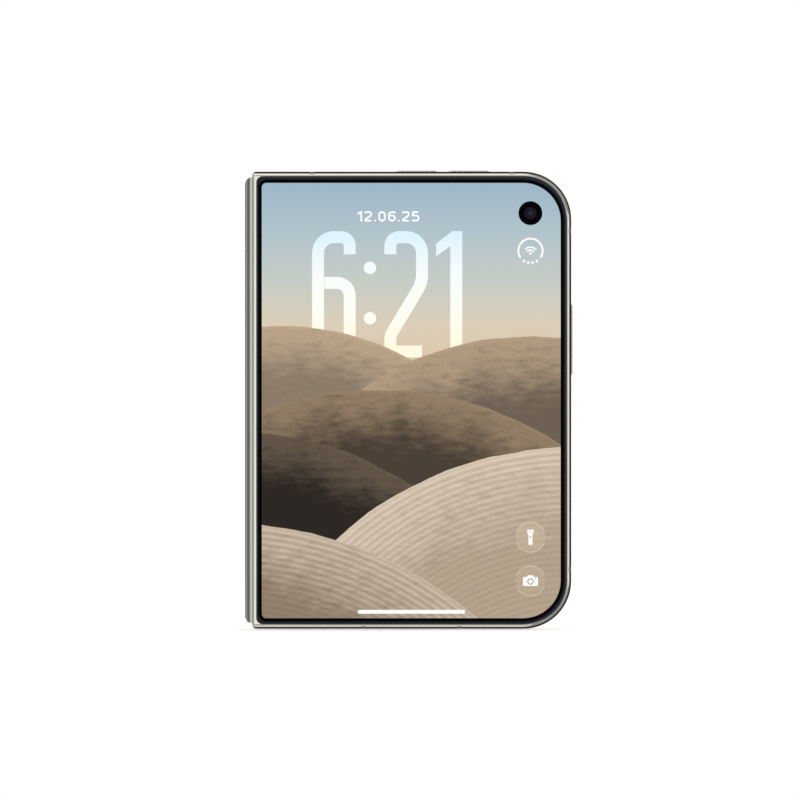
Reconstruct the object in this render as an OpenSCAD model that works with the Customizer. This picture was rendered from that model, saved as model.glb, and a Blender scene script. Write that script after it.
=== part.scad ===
// Book-style foldable smartphone, closed, standing on its bottom edge.
// Each half is drawn lying flat: X runs from the hinge edge to the free edge,
// Y runs up the phone and Z runs outwards from the plane where the halves meet.
// as_front() and as_rear() then stand a half up on its side of that plane.

/* [Body] */
// Height of the phone
body_h = 120.6; // [114:0.1:130]
// Width of each half, from its hinge edge to its free edge
half_w = 84.1; // [80:0.1:92]
// Thickness of the closed phone, without its camera island
closed_t = 9.6; // [9.4:0.1:10.6]
// Gap between the closed halves
close_gap = 0.2; // [0.1:0.05:0.3]
// Radius of the two corners at the free edge
corner_r = 12.6; // [10:0.1:15]
// Radius of the two corners at the hinge edge
hinge_corner_r = 1.0; // [0.5:0.1:1.2]
// Rounding of the frame's outer edge
edge_r = 1.2; // [0.8:0.1:1.3]
// Thickness of the frame's end walls beside the spine
end_wall = 1.3; // [1.2:0.1:1.6]
// Thickness of the frame's rail round the component bay
rail_t = 2.4; // [2:0.1:2.8]
// Thickness of the plate that carries the inner display
mid_t = 0.5; // [0.4:0.05:0.7]

/* [Hinge] */
// Distance of each hinge axis from the plane where the halves meet
axis_z = 1.08; // [1.02:0.02:1.14]
// Thickness of the frame's lip over the spine
lip_t = 0.65; // [0.6:0.05:0.75]
// Width of the lip, from the hinge edge to the glass
lip_w = 1.0; // [0.8:0.1:1.2]
// Wall of the spine cover
spine_wall = 0.45; // [0.35:0.05:0.55]
// Reach of the spine cover into the halves
tail_reach = 0.5; // [0.2:0.1:0.5]
// Radius of the spine cover's ends
spine_end_r = 1.8; // [1:0.1:2]
// Radius of the hinge pins
pin_r = 0.4; // [0.3:0.05:0.45]
// Teeth of a full synchronising gear
gear_teeth = 18; // [16:2:22]
// Width of the gear teeth
gear_w = 0.9; // [0.7:0.1:1.1]
// Thickness of the spine's ears that hold the pins
ear_w = 0.75; // [0.6:0.05:0.9]
// Thickness of each friction washer
washer_t = 0.1; // [0.08:0.01:0.12]
// Distance of the support plates' pivots from the hinge edge
pivot_x = 11.2; // [10.6:0.1:12]
// Tilt of the support plates when the phone is closed
wing_tilt = 7.2; // [6.8:0.1:7.4]
// Thickness of the support plates
wing_t = 0.35; // [0.25:0.05:0.4]
// Length of each hinge bracket along the spine
bracket_l = 16; // [10:1:24]
// Travel of the plate that lifts the fold
lift = 0.7; // [0.5:0.05:0.75]

/* [Glass and displays] */
// Inset of both outer glass panels from the frame's outline
glass_in = 1.25; // [1.1:0.05:1.5]
// Thickness of both outer glass panels
glass_t = 0.5; // [0.4:0.05:0.5]
// Radius of the glass corners at the hinge edge
glass_corner_r = 1.7; // [1:0.1:2.2]
// Rounding of the glass panels' outer edges
glass_edge_r = 0.25; // [0.1:0.05:0.35]
// Thickness of the cover display panel
cover_panel_t = 0.38; // [0.3:0.02:0.38]
// Inset of the cover display panel from the frame's outline
cover_panel_in = 2.6; // [2.5:0.1:3.2]
// Radius of the hole for the cover camera in the display
punch_r = 3.1; // [2.5:0.1:3.5]
// Thickness of the inner flexible display
panel_t = 0.45; // [0.35:0.05:0.5]
// Thickness of the rim round the inner display
rim_t = 0.22; // [0.18:0.02:0.26]
// Width of the rim's overlap on the inner display
rim_lap = 0.6; // [0.4:0.1:1]

/* [Camera island] */
// Height of the island above the rear glass
island_h = 1.9; // [1:0.1:3]
// Distance from the second lens to the flash
flash_gap = 10.9; // [10.5:0.1:13]
// Width of the island
island_w = 18.5; // [17:0.5:20]
// Distance of the island from the free edge and the top
island_in = 6; // [5:0.5:8]
// Outer radius of each lens ring
ring_r = 7.2; // [6.5:0.1:8]
// Height of each lens ring above the island
ring_h = 0.9; // [0.5:0.1:1.2]
// Distance between the two lenses
lens_gap = 16.6; // [16.4:0.1:18]

/* [Buttons and ports] */
// Height of the buttons above the frame
button_out = 0.5; // [0.3:0.05:0.7]
// Width of the buttons
button_w = 2.0; // [1.6:0.1:2.3]
// Length of each volume button
volume_l = 10.95; // [9:0.05:12]
// Length of the side button
side_l = 19; // [14:0.5:22]
// Travel of the buttons
button_travel = 0.25; // [0.15:0.05:0.3]
// Width of the antenna bands
band_w = 1.3; // [0.8:0.1:1.6]
// Depth of the antenna bands
band_d = 0.9; // [0.5:0.1:1]
// Width of the port's metal shell
port_w = 8.94; // [8.9:0.01:9]
// Height of the port's metal shell
port_t = 3.16; // [3.1:0.01:3.2]
// Radius of the speaker holes
speaker_hole_r = 0.55; // [0.4:0.05:0.6]

/* [Hidden] */

$fn = 96;
small_fn = 32;

half_t = closed_t / 2;
gap = close_gap / 2;
axis_x = axis_z - gap;
slack = 0.05;
seam = 0.02;
run = 0.03;
over = 1;

// Depths of the layers, outwards from the plane where the halves meet
panel_z = gap + rim_t + seam;
plate_z = panel_z + panel_t + slack;
bay_z = plate_z + mid_t;
part_z = bay_z + slack;
lip_z = half_t - lip_t;
glass_z = half_t - glass_t;
bay_x = pivot_x + 2.2;
rib_x = pivot_x + 1;
lip_edge_r = 0.5;
inner_edge_r = 0.3;
knuckle_r = axis_z - gap;

// Spine cover: the lips sweep round it without touching
spine_clear = 0.15;
tail_clear = 0.12;
spine_x = axis_x + axis_z - lip_z + spine_clear;
spine_r = lip_z - axis_z - tail_clear;
spine_y0 = end_wall + spine_clear;
spine_y1 = body_h - spine_y0;

// Stack of hinge parts inside each end wall
arm_y = end_wall + slack;
washer_y = arm_y + gear_w + slack;
ear_y = washer_y + washer_t + slack;
panel_y = ear_y + ear_w + 2 * slack;
pin_y1 = ear_y + ear_w;

// Teeth, and the arms that carry them
tooth_module = 2 * axis_z / gear_teeth;
tooth_tip_r = axis_z + 0.8 * tooth_module;
tooth_root_r = axis_z - tooth_module;
tooth_play = 0.03;
ear_r = 0.85;
neck_z0 = plate_z - 0.12;
neck_z1 = neck_z0 + 0.6;
foot_x0 = axis_x + spine_r + 0.4;
foot_x1 = rib_x - 0.2;
foot_z0 = panel_z + 0.15;
foot_z1 = glass_z - seam - cover_panel_t - 0.12;
arm_screw_x = [foot_x0 + 2.4, foot_x1 - 2.2];
arm_screw_z = (foot_z0 + foot_z1) / 2 + 0.6;
screw_r = 0.35;
screw_head_r = 0.7;
screw_head_t = 0.3;

// Support plates, whose pivots run in the arms
wing_z = plate_z + wing_t / 2;
wing_l = 9.1;
wing_pin_r = 0.22;

// Fold of the display: two straight flanks that touch a round loop
fold_mid = panel_z + panel_t / 2;
fold_len = 2 * (pivot_x + gap);
fold_r = (fold_len + 2 * fold_mid / sin(wing_tilt))
    / (2 / tan(wing_tilt) + PI * (1 + wing_tilt / 90));
fold_x = pivot_x - (fold_r / cos(wing_tilt) - fold_mid) / tan(wing_tilt);
flank_l = fold_r / tan(wing_tilt) - fold_mid / sin(wing_tilt);

// Lifting plate and the brackets it slides in
lift_x1 = fold_x - fold_r - panel_t / 2 - 0.16;
lift_t = 0.4;
lift_half = 1.6;
bracket_x1 = lift_x1 - lift_t - 0.15;
stud_r = 0.35;
bracket_y1 = ear_y + bracket_l;
bracket_screw_in = 5;
bracket_end_in = 3;
bracket_screw_y = [
    ear_y + bracket_screw_in, bracket_y1 - bracket_end_in,
    body_h - bracket_y1 + bracket_end_in, body_h - ear_y - bracket_screw_in
];
stud_y = (ear_y + ear_w + bracket_y1) / 2;
stud_l = lift + 0.6;
wing_room_z = plate_z + wing_t + wing_l * sin(wing_tilt) + 0.2;

// Ribbon between the boards, past the end of the upper bracket
ribbon_t = 0.12;
ribbon_w = 9;
ribbon_room = ribbon_w / 2 + 0.3;
ribbon_r = 2.15;
ribbon_y = body_h - bracket_y1 - ribbon_w / 2 - 1.5;
ribbon_z = axis_z + ribbon_r;
socket_w = 3;
ribbon_x1 = bay_x + 1.2 + socket_w;

// Inner display and its rim
rim_in = 0.5;
rim_w = panel_y + rim_lap - rim_in;
rim_x0 = axis_x + 1.35;
display_side = rail_t + 0.6;

// Camera island, with the first lens at the free edge
island_l = island_w + lens_gap + flash_gap;
island_x = half_w - island_in - island_l / 2;
island_y = body_h - island_in - island_w / 2;
island_r = island_w / 2;
island_edge_r = 0.8;
lens_x = [island_x + island_l / 2 - island_r, island_x + island_l / 2 - island_r - lens_gap];
flash_x = lens_x[1] - flash_gap;
lens_window_r = ring_r - 1.5;
lens_window_t = 0.45;
island_floor = 1.0;
island_top = half_t + island_h;
flash_r = 3;
flash_t = 0.6;
led_r = 1.8;
led_base_r = 2.4;
led_step = 0.6;
module_side = 2 * lens_window_r - 0.4;
barrel_r = module_side / 2;
iris_r = 2.2;
cone_r = 4.2;
cone_h = 1.2;
ring_seat = 0.6;
ring_edge = 0.25;
ring_lip = 0.4;
ring_foot_r = ring_r - 0.6;
rear_mic_x = flash_x - 5;
rear_mic_r = 0.5;

// Buttons: the photograph gives their ends along the top and the side
volume_up_in = 40.65;
volume_down_in = 26.9;
side_in = 44.1;
volume_x = [half_w - volume_up_in, half_w - volume_down_in];
side_y = body_h - side_in;
button_z = 2.45;
button_edge_r = 0.35;
flange_t = 0.45;
flange_lip = 0.6;
switch_l = 3.2;
switch_w = 2;
switch_t = 0.8;
button_fit = 0.1;
button_in = rail_t + slack + flange_t;

// Antenna bands
band_in = 15.7;
band_top_x = [band_in, half_w - band_in];
band_bottom_in = 29.5;
band_bottom_x = [band_bottom_in - 0.2, half_w - band_bottom_in];
band_side_y = [band_in, body_h - band_in];

// Port and sound holes in the bottom rail
port_x = half_w / 2;
port_z = 2.67;
port_l = 7.3;
port_mouth_y = 0.4;
port_shell_t = 0.3;
port_back_t = 0.6;
port_tongue_w = 6.7;
port_tongue_l = 5.9;
port_tongue_t = 0.7;
hole_step = 2.1;
speaker_in = 24.1;
speaker_x0 = half_w - speaker_in;
speaker_count = 7;
mic_x0 = band_in + 2.3;
mic_count = 3;
top_mic_gap = 14;
top_mic_x = volume_x[0] - top_mic_gap;
sound_z = 2.4;

// Cover camera, where the photograph shows it
cover_camera_in = 10.7;
cover_camera_down = 10.95;
cover_camera_x = half_w - cover_camera_in;
cover_camera_y = body_h - cover_camera_down;
cover_camera_lens_r = 1.66;
cover_panel_x0 = 2.2;

// Space for the parts in the bays
part_gap = 1.2;
bay_x1 = half_w - rail_t - part_gap;
bay_y0 = rail_t + part_gap;
magnet_w = 1.5;
magnet_l = 26;
magnet_y1 = side_y - switch_l / 2 - part_gap;

// Boards and the cans on the main board
board_t = 0.7;
board_x1 = bay_x1 - 1.4;
board_under = 12;
board_y0 = ribbon_y - ribbon_w / 2 - board_under;
board_y1 = body_h - button_in - button_travel - switch_t - part_gap;
can_t = 1.3;
can_gap = 2;
can_l = 8.5;
can_x0 = ribbon_x1 + can_gap;
can_w = (board_x1 - can_x0 - 2 * can_gap) / 2;

// Loudspeaker, batteries and the charging coil with its magnets
speaker_l = 16;
motor_l = 12.6;
battery_x0 = bay_x + part_gap;
battery_x1 = bay_x1 - magnet_w - part_gap;
battery_y0 = bay_y0 + speaker_l + part_gap;
battery_y1 = board_y0 - part_gap;
tab_in = 8;
tab_l = 22;
tab_w = 0.9;
tab_t = 0.6;
coil_r = 20;
coil_hole_r = 12;
coil_t = 0.2;
coil_y = (battery_y0 + battery_y1) / 2;
coil_z = glass_z - 0.3;
magnet_ring_r = coil_r + 1;
magnet_ring_w = 3;
magnet_arcs = 16;

// Parts behind the cover display and the inner camera
ear_slot_l = 14;
earpiece_w = 3;
inner_camera_in = 9;
inner_camera_r = 1.9;
front_board_y0 = ribbon_y - ribbon_w / 2 - 2;
front_board_y1 = body_h - rail_t - earpiece_w - 2 * part_gap;
front_battery_y0 = bay_y0 + 5 * part_gap;

// Row frame: the middle of the closed phone's footprint is at the origin
centre_x = (spine_x + half_w + button_out) / 2;
centre_y = (island_h + ring_h) / 2;

// Colours of the parts
metal = "#b9b5aa";
polished = "#d5d2c8";
dark_metal = "#77746c";
steel = "#9a9a98";
band_grey = "#a9a59b";
glass_black = "#101216";
back_colour = "#cfcabd";
battery_grey = "#3a3b3e";
board_green = "#24452f";
copper = "#b4703a";

module as_front() {
    translate([-centre_x, -centre_y, 0]) rotate([90, 0, 0]) children();
}

module as_rear() {
    translate([-centre_x, -centre_y, 0]) mirror([0, 1, 0]) rotate([90, 0, 0]) children();
}

// Extrudes an outline drawn in X and Z along Y, from y0 to y1
module along_y(y0, y1) {
    translate([0, y1, 0]) rotate([90, 0, 0]) linear_extrude(height = y1 - y0) children();
}

// Extrudes an outline drawn in Y and Z along X, from x0 to x1
module along_x(x0, x1) {
    translate([x0, 0, 0]) rotate([90, 0, 90]) linear_extrude(height = x1 - x0) children();
}

// Puts children at both ends of the hinge
module both_ends() {
    children();
    translate([0, body_h, 0]) mirror([0, 1, 0]) children();
}

module block(x0, x1, y0, y1, z0, z1) {
    translate([x0, y0, z0]) cube([x1 - x0, y1 - y0, z1 - z0]);
}

// Section of a rounded edge: u outwards, v from the lower to the upper face
module edge_section(u, depth, top_r, bottom_r) {
    square([u - top_r, depth]);
    translate([0, bottom_r]) square([u, depth - top_r - bottom_r]);
    translate([u - top_r, depth - top_r]) circle(top_r, $fn = small_fn);
    if (bottom_r > 0) {
        square([u - bottom_r, depth / 2]);
        translate([u - bottom_r, bottom_r]) circle(bottom_r, $fn = small_fn);
    }
}

// Solid outside of a half, with its edge rounded along the three free sides
module half_solid() {
    depth = half_t - gap;
    x1 = half_w - corner_r;
    y0 = corner_r;
    y1 = body_h - corner_r;
    translate([0, 0, gap]) {
        translate([x1, y1, 0]) rotate_extrude(angle = 90) edge_section(corner_r, depth, edge_r, inner_edge_r);
        translate([x1, y0, 0]) rotate([0, 0, -90])
            rotate_extrude(angle = 90) edge_section(corner_r, depth, edge_r, inner_edge_r);
        along_x(0, x1) translate([y1, 0]) edge_section(corner_r, depth, edge_r, inner_edge_r);
        along_x(0, x1) translate([y0, 0]) mirror([1, 0]) edge_section(corner_r, depth, edge_r, inner_edge_r);
        along_y(y0, y1) translate([x1, 0]) edge_section(corner_r, depth, edge_r, inner_edge_r);
        block(0, x1, y0, y1, 0, depth);
    }
}

// Glass panel, its outer edge rounded on all four sides
module glass_slab() {
    r1 = corner_r - glass_in;
    r0 = glass_corner_r;
    x0 = lip_w + slack;
    x1 = half_w - glass_in;
    y0 = glass_in;
    y1 = body_h - glass_in;
    translate([0, 0, glass_z]) {
        for (y = [y0 + r1, y1 - r1]) translate([x1 - r1, y, 0]) rotate([0, 0, y > body_h / 2 ? 0 : -90])
            rotate_extrude(angle = 90) edge_section(r1, glass_t, glass_edge_r, 0);
        for (y = [y0 + r0, y1 - r0]) translate([x0 + r0, y, 0]) rotate([0, 0, y > body_h / 2 ? 90 : 180])
            rotate_extrude(angle = 90) edge_section(r0, glass_t, glass_edge_r, 0);
        along_x(x0 + r0, x1 - r1) {
            translate([y1 - r1, 0]) edge_section(r1, glass_t, glass_edge_r, 0);
            translate([y0 + r1, 0]) mirror([1, 0]) edge_section(r1, glass_t, glass_edge_r, 0);
            translate([y0 + r1, 0]) square([y1 - y0 - 2 * r1, glass_t]);
        }
        along_y(y0 + r1, y1 - r1) translate([x1 - r1, 0]) edge_section(r1, glass_t, glass_edge_r, 0);
        along_y(y0 + r0, y1 - r0) translate([x0 + r0, 0]) mirror([1, 0])
            edge_section(r0, glass_t, glass_edge_r, 0);
    }
}

// Outline inset from the half's own, with its own hinge edge and hinge corners
module plan(inset, x0, r0 = 0.4) {
    r = corner_r - inset;
    x1 = half_w - inset;
    y0 = inset;
    y1 = body_h - inset;
    for (y = [y0 + r, y1 - r]) translate([x1 - r, y]) circle(r);
    for (y = [y0 + r0, y1 - r0]) translate([x0 + r0, y]) circle(r0, $fn = small_fn);
    translate([x0 + r0, y0]) square([x1 - r - x0 - r0, y1 - y0]);
    translate([x0, y0 + r0]) square([r0, y1 - y0 - 2 * r0]);
    translate([x1 - r, y0 + r]) square([r, y1 - y0 - 2 * r]);
}

module plate(inset, x0, z0, z1, r0 = 0.4) {
    translate([0, 0, z0]) linear_extrude(height = z1 - z0) plan(inset, x0, r0);
}

// Slot outline with round ends, centred
module slot_outline(l, w) {
    square([l - w, w], center = true);
    for (s = [-1, 1]) translate([s * (l - w) / 2, 0]) circle(w / 2, $fn = small_fn);
}

// Knuckle rounding that lets the end walls roll past each other at the closing plane
module knuckle_cut() {
    along_y(-over, body_h + over) difference() {
        translate([-over, -over]) square([axis_x + over, axis_z + over]);
        translate([axis_x, axis_z]) circle(knuckle_r);
    }
}

// Rounds the corners at the hinge edge, seen from the front
module hinge_corner_cut() {
    both_ends() translate([0, 0, -over]) linear_extrude(height = half_t + 2 * over) difference() {
        translate([-over, -over]) square(hinge_corner_r + over);
        translate([hinge_corner_r, hinge_corner_r]) circle(hinge_corner_r, $fn = small_fn);
    }
}

// Rounds the lip's outer edge along the hinge
module lip_edge_cut() {
    along_y(-over, body_h + over) difference() {
        translate([-over, half_t - lip_edge_r]) square([over + lip_edge_r, over + lip_edge_r]);
        translate([lip_edge_r, half_t - lip_edge_r]) circle(lip_edge_r, $fn = small_fn);
    }
}

// Room for the spine, the arms and the support plate, open at the hinge edge
module hinge_pocket() {
    along_y(end_wall, body_h - end_wall) {
        translate([axis_x, axis_z]) circle(lip_z - axis_z);
        translate([-over, -over]) square([axis_x + over, lip_z + over]);
        translate([-over, -over]) square([rib_x + over, wing_room_z + over]);
    }
    both_ends() block(axis_x, rib_x, end_wall, panel_y, -over, foot_z1 + slack);
    y0 = ribbon_y - ribbon_room;
    block(axis_x, ribbon_x1 + slack, y0, y0 + 2 * ribbon_room, plate_z + over, ribbon_z + slack);
}

// The port's shell fills the whole depth behind the inner display
module port_room() {
    half = port_w / 2 + slack;
    block(port_x - half, port_x + half, rail_t, port_l + over, plate_z - seam, part_z);
}

// Bands lie in grooves of this shape
module band_boxes() {
    for (x = band_top_x)
        block(x - band_w / 2, x + band_w / 2, body_h - band_d, body_h + over, 0, half_t + over);
    for (x = band_bottom_x) block(x - band_w / 2, x + band_w / 2, -over, band_d, 0, half_t + over);
    for (y = band_side_y)
        block(half_w - band_d, half_w + over, y - band_w / 2, y + band_w / 2, 0, half_t + over);
}

// Frame that both halves share
module half_frame() {
    difference() {
        half_solid();
        knuckle_cut();
        hinge_corner_cut();
        lip_edge_cut();
        hinge_pocket();
        plate(rail_t, bay_x, bay_z, half_t + over);
        plate(glass_in - slack, lip_w, glass_z - seam, half_t + over, glass_corner_r);
        rim_seat();
        plate(display_side - slack, pivot_x - over, gap, plate_z);
        display_bed();
        arm_screw_holes();
        band_boxes();
    }
}

module display_bed() {
    block(pivot_x - over, half_w - corner_r, panel_y - slack, body_h - panel_y + slack, gap, plate_z);
}

module arm_screw_holes() {
    both_ends() for (x = arm_screw_x) translate([x, end_wall + over / 2, arm_screw_z])
        rotate([90, 0, 0]) cylinder(r = screw_r, h = over + 0.4, $fn = small_fn);
}

module button_slot(l) {
    linear_extrude(height = rail_t + 2 * over) slot_outline(l + 2 * button_fit, button_w + 2 * button_fit);
}

// Turns something drawn upwards to point out of the top rail, with its length along X
module at_top(x) {
    translate([x, body_h, button_z]) rotate([-90, 0, 0]) children();
}

// The same for the free edge, with its length along Y
module at_side(y) {
    translate([half_w, y, button_z]) rotate([0, 90, 0]) rotate([0, 0, 90]) children();
}

module sound_hole(x, y) {
    translate([x, y, sound_z]) rotate([-90, 0, 0])
        cylinder(r = speaker_hole_r, h = rail_t + 2 * over, $fn = small_fn);
}

module rear_frame() {
    color(metal) difference() {
        half_frame();
        for (x = volume_x) at_top(x) translate([0, 0, -rail_t - over]) button_slot(volume_l);
        at_side(side_y) translate([0, 0, -rail_t - over]) button_slot(side_l);
        translate([port_x, port_l + over, port_z]) rotate([90, 0, 0])
            linear_extrude(height = port_l + 2 * over) slot_outline(port_w + 2 * seam, port_t + 2 * seam);
        for (i = [0 : speaker_count - 1]) sound_hole(speaker_x0 + i * hole_step, -over);
        for (i = [0 : mic_count - 1]) sound_hole(mic_x0 + i * hole_step, -over);
        sound_hole(top_mic_x, body_h - rail_t - over);
        port_room();
    }
}

// The cover display reaches over the hinge pocket, in a bed under its glass
module front_frame() {
    z0 = glass_z - 2 * seam - cover_panel_t;
    color(metal) difference() {
        half_frame();
        plate(cover_panel_in - slack, cover_panel_x0 - slack, z0, glass_z, 1.2);
        for (i = [-1 : 1]) sound_hole(half_w / 2 + i * hole_step, body_h - rail_t - over);
    }
}

module antenna_bands() {
    color(band_grey) difference() {
        intersection() {
            half_solid();
            band_boxes();
        }
        rim_seat();
    }
}

// Step round the closing face, in which the inner display's rim lies
module rim_seat() {
    translate([0, 0, -over]) linear_extrude(height = over + gap + rim_t + seam) plan(rim_in, -over);
}

module rear_glass() {
    color(back_colour) difference() {
        glass_slab();
        translate([island_x, island_y, glass_z - over])
            linear_extrude(height = 2 * over) slot_outline(island_l + 2 * slack, island_w + 2 * slack);
    }
}

// Section of the island's rounded edge
module island_section() {
    edge_section(island_r, glass_t + island_h + island_floor, island_edge_r, 0);
}

module camera_island() {
    straight = island_l / 2 - island_r;
    color(polished) difference() {
        translate([island_x, island_y, glass_z - island_floor]) for (s = [0, 180]) rotate([0, 0, s]) {
            translate([straight, 0, 0]) rotate([0, 0, -90]) rotate_extrude(angle = 180) island_section();
            along_x(-straight, straight) island_section();
        }
        for (x = lens_x) translate([x, island_y, 0]) {
            cylinder(r = lens_window_r, h = island_top + over);
            translate([0, 0, island_top - ring_seat]) cylinder(r = ring_foot_r, h = over);
        }
        translate([flash_x, island_y, 0]) cylinder(r = flash_r, h = island_top + over);
        translate([rear_mic_x, island_y, half_t])
            cylinder(r = rear_mic_r, h = island_h + over, $fn = small_fn);
    }
}

// Ring with a foot in the island and a lip round its window
module lens_rings() {
    foot_w = ring_foot_r - slack - lens_window_r;
    top = ring_seat + ring_h;
    color(polished) for (x = lens_x) translate([x, island_y, island_top - ring_seat]) rotate_extrude()
        difference() {
            union() {
                translate([lens_window_r, 0]) square([foot_w, ring_seat + ring_h / 2]);
                translate([lens_window_r, ring_seat]) square([ring_r - lens_window_r, ring_h - ring_edge]);
                translate([lens_window_r, ring_seat]) square([ring_r - ring_edge - lens_window_r, ring_h]);
                translate([ring_r - ring_edge, top - ring_edge]) circle(ring_edge, $fn = small_fn);
            }
            translate([0, top - lens_window_t + seam]) square([lens_window_r + ring_lip, over]);
        }
}

// Windows lie on the rings' inner step, just below the rings' tops
module lens_windows() {
    z = island_top + ring_h - lens_window_t + 2 * seam;
    color(glass_black) for (x = lens_x) translate([x, island_y, z])
        cylinder(r = lens_window_r + ring_lip - seam, h = lens_window_t - 4 * seam);
}

// Square housing, with a barrel up to its window and a cone round the lens
module camera_modules() {
    top = island_top + ring_h - lens_window_t;
    floor_z = glass_z - island_floor - slack;
    color("#26272b") for (x = lens_x) translate([x, island_y, 0]) {
        block(-barrel_r, barrel_r, -barrel_r, barrel_r, part_z, floor_z);
        difference() {
            translate([0, 0, floor_z]) cylinder(r = barrel_r, h = top - floor_z);
            translate([0, 0, top - cone_h]) cylinder(r1 = iris_r, r2 = cone_r, h = cone_h + seam);
        }
        translate([0, 0, top - cone_h]) cylinder(r = iris_r - slack, h = cone_h / 4);
    }
}

module flash_window() {
    color("#f3efe2") translate([flash_x, island_y, island_top - flash_t])
        cylinder(r = flash_r - seam, h = flash_t);
}

// Lamp under its window, on a base that stands on the board
module flash_led() {
    base_z = part_z + board_t + seam;
    step_z = island_top - flash_t - led_step - slack;
    color("#e8d36a") translate([flash_x, island_y, 0]) {
        translate([0, 0, step_z]) cylinder(r = led_r, h = led_step, $fn = small_fn);
        translate([0, 0, base_z]) cylinder(r = led_base_r, h = step_z - base_z, $fn = small_fn);
    }
}

// Upper board, cut back round the camera modules and the free corner
module main_board() {
    side = module_side + 2 * part_gap / 3;
    color(board_green) {
        ribbon_socket();
        translate([0, 0, part_z]) linear_extrude(height = board_t) difference() {
            translate([battery_x0, board_y0]) square([board_x1 - battery_x0, board_y1 - board_y0]);
            for (x = lens_x) translate([x, island_y]) square(side, center = true);
            translate([lens_x[0], island_y - side / 2]) square([half_w, body_h]);
            for (y = [board_y0 + 4, board_y1 - 4]) translate([battery_x0 + 3, y]) circle(screw_head_r);
        }
    }
}

// Two cans in a row along the board's lower edge, and one beside the flash
module shield_cans() {
    z0 = part_z + board_t + seam;
    y0 = board_y0 + can_gap;
    can_x1 = flash_x - island_r - can_gap;
    color("#b8babd") {
        for (i = [0, 1]) translate([can_x0 + i * (can_w + can_gap), y0, z0]) cube([can_w, can_l, can_t]);
        block(can_x0, can_x1, y0 + can_l + can_gap, board_y1 - can_gap, z0, z0 + can_t);
    }
}

// Pouch cell with rounded long edges
module cell(x0, x1, y0, y1, z0, z1) {
    r = (z1 - z0) / 2;
    along_y(y0, y1) {
        translate([x0 + r, z0]) square([x1 - x0 - 2 * r, 2 * r]);
        for (x = [x0 + r, x1 - r]) translate([x, z0 + r]) circle(r, $fn = small_fn);
    }
}

module rear_battery() {
    color(battery_grey) {
        cell(battery_x0, battery_x1, battery_y0, battery_y1, part_z, coil_z - slack);
        translate([battery_x0 + tab_in, battery_y1 - slack, part_z]) cube([tab_l, tab_w, tab_t]);
    }
}

module charging_coil() {
    color(copper) translate([port_x, coil_y, coil_z]) difference() {
        cylinder(r = coil_r, h = coil_t);
        translate([0, 0, -over]) cylinder(r = coil_hole_r, h = coil_t + 2 * over);
    }
}

// Ring of magnets round the coil, in arcs with small gaps
module charging_magnets() {
    outer_r = magnet_ring_r + magnet_ring_w;
    color(steel) translate([port_x, coil_y, coil_z]) difference() {
        cylinder(r = outer_r, h = coil_t);
        translate([0, 0, -over]) cylinder(r = magnet_ring_r, h = coil_t + 2 * over);
        for (i = [0 : magnet_arcs / 2 - 1]) rotate([0, 0, i * 360 / magnet_arcs])
            block(-outer_r - over, outer_r + over, -4 * seam, 4 * seam, -over, coil_t + over);
    }
}

// Speaker box behind the sound holes, with its mouth at the rail
module loudspeaker() {
    x0 = port_x + port_w / 2 + 2.5 * part_gap;
    x1 = half_w - corner_r + 2;
    color("#2c2d30") {
        block(x0, x1, bay_y0, bay_y0 + speaker_l, part_z, glass_z - 8 * slack);
        block(x0 + over, x1 - over, rail_t + slack, bay_y0 + over, part_z + slack, glass_z - 12 * slack);
    }
}

module haptic_motor() {
    x1 = port_x - port_w / 2 - 3 * part_gap;
    color(steel) block(battery_x0 + part_gap, x1, bay_y0, bay_y0 + motor_l, part_z, glass_z - 8 * slack);
}

module port_shell() {
    color(steel) translate([port_x, port_mouth_y + port_l, port_z]) rotate([90, 0, 0]) difference() {
        linear_extrude(height = port_l) slot_outline(port_w, port_t);
        translate([0, 0, port_back_t]) linear_extrude(height = port_l)
            slot_outline(port_w - 2 * port_shell_t, port_t - 2 * port_shell_t);
    }
}

module port_tongue() {
    y1 = port_mouth_y + port_l - port_back_t - slack;
    color("#1b1c1e") translate([port_x, y1, port_z]) rotate([90, 0, 0])
        linear_extrude(height = port_tongue_l) square([port_tongue_w, port_tongue_t], center = true);
}

// Button cap with rounded rims, and the flange behind the rail that keeps it in
module button(l) {
    w = button_w / 2;
    h = rail_t + slack + button_out;
    color(polished) translate([0, 0, -rail_t - slack]) {
        translate([0, 0, -flange_t]) linear_extrude(height = flange_t + slack)
            slot_outline(l + 2 * flange_lip, button_w - 2 * slack);
        for (s = [0, 180]) rotate([0, 0, s]) {
            translate([l / 2 - w, 0, 0]) rotate([0, 0, -90])
                rotate_extrude(angle = 180) edge_section(w, h, button_edge_r, 0);
            along_x(w - l / 2, l / 2 - w) edge_section(w, h, button_edge_r, 0);
        }
    }
}

module switch() {
    color("#3b3c40") translate([0, 0, -button_in - button_travel - slack - switch_t]) {
        linear_extrude(height = switch_t - 0.3) square([switch_l, switch_w], center = true);
        cylinder(r = 0.7, h = switch_t, $fn = small_fn);
    }
}

module volume_up_button() at_top(volume_x[1]) button(volume_l);
module volume_down_button() at_top(volume_x[0]) button(volume_l);
module side_button() at_side(side_y) button(side_l);

module button_switches() {
    for (x = volume_x) at_top(x) switch();
    at_side(side_y) switch();
}

module latch_magnets() {
    color(steel) for (y = [magnet_y1 - magnet_l, magnet_y1 - 2 * magnet_l - 2 * part_gap])
        block(bay_x1 - magnet_w, bay_x1, y, y + magnet_l, part_z, part_z + magnet_w);
}

// Rim round the inner display, open at the fold
module rim() {
    color("#1d1e20") translate([0, 0, gap]) linear_extrude(height = rim_t) difference() {
        plan(rim_in + seam, rim_x0);
        plan(rim_w + rim_in, rim_x0 - 2);
    }
}

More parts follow.
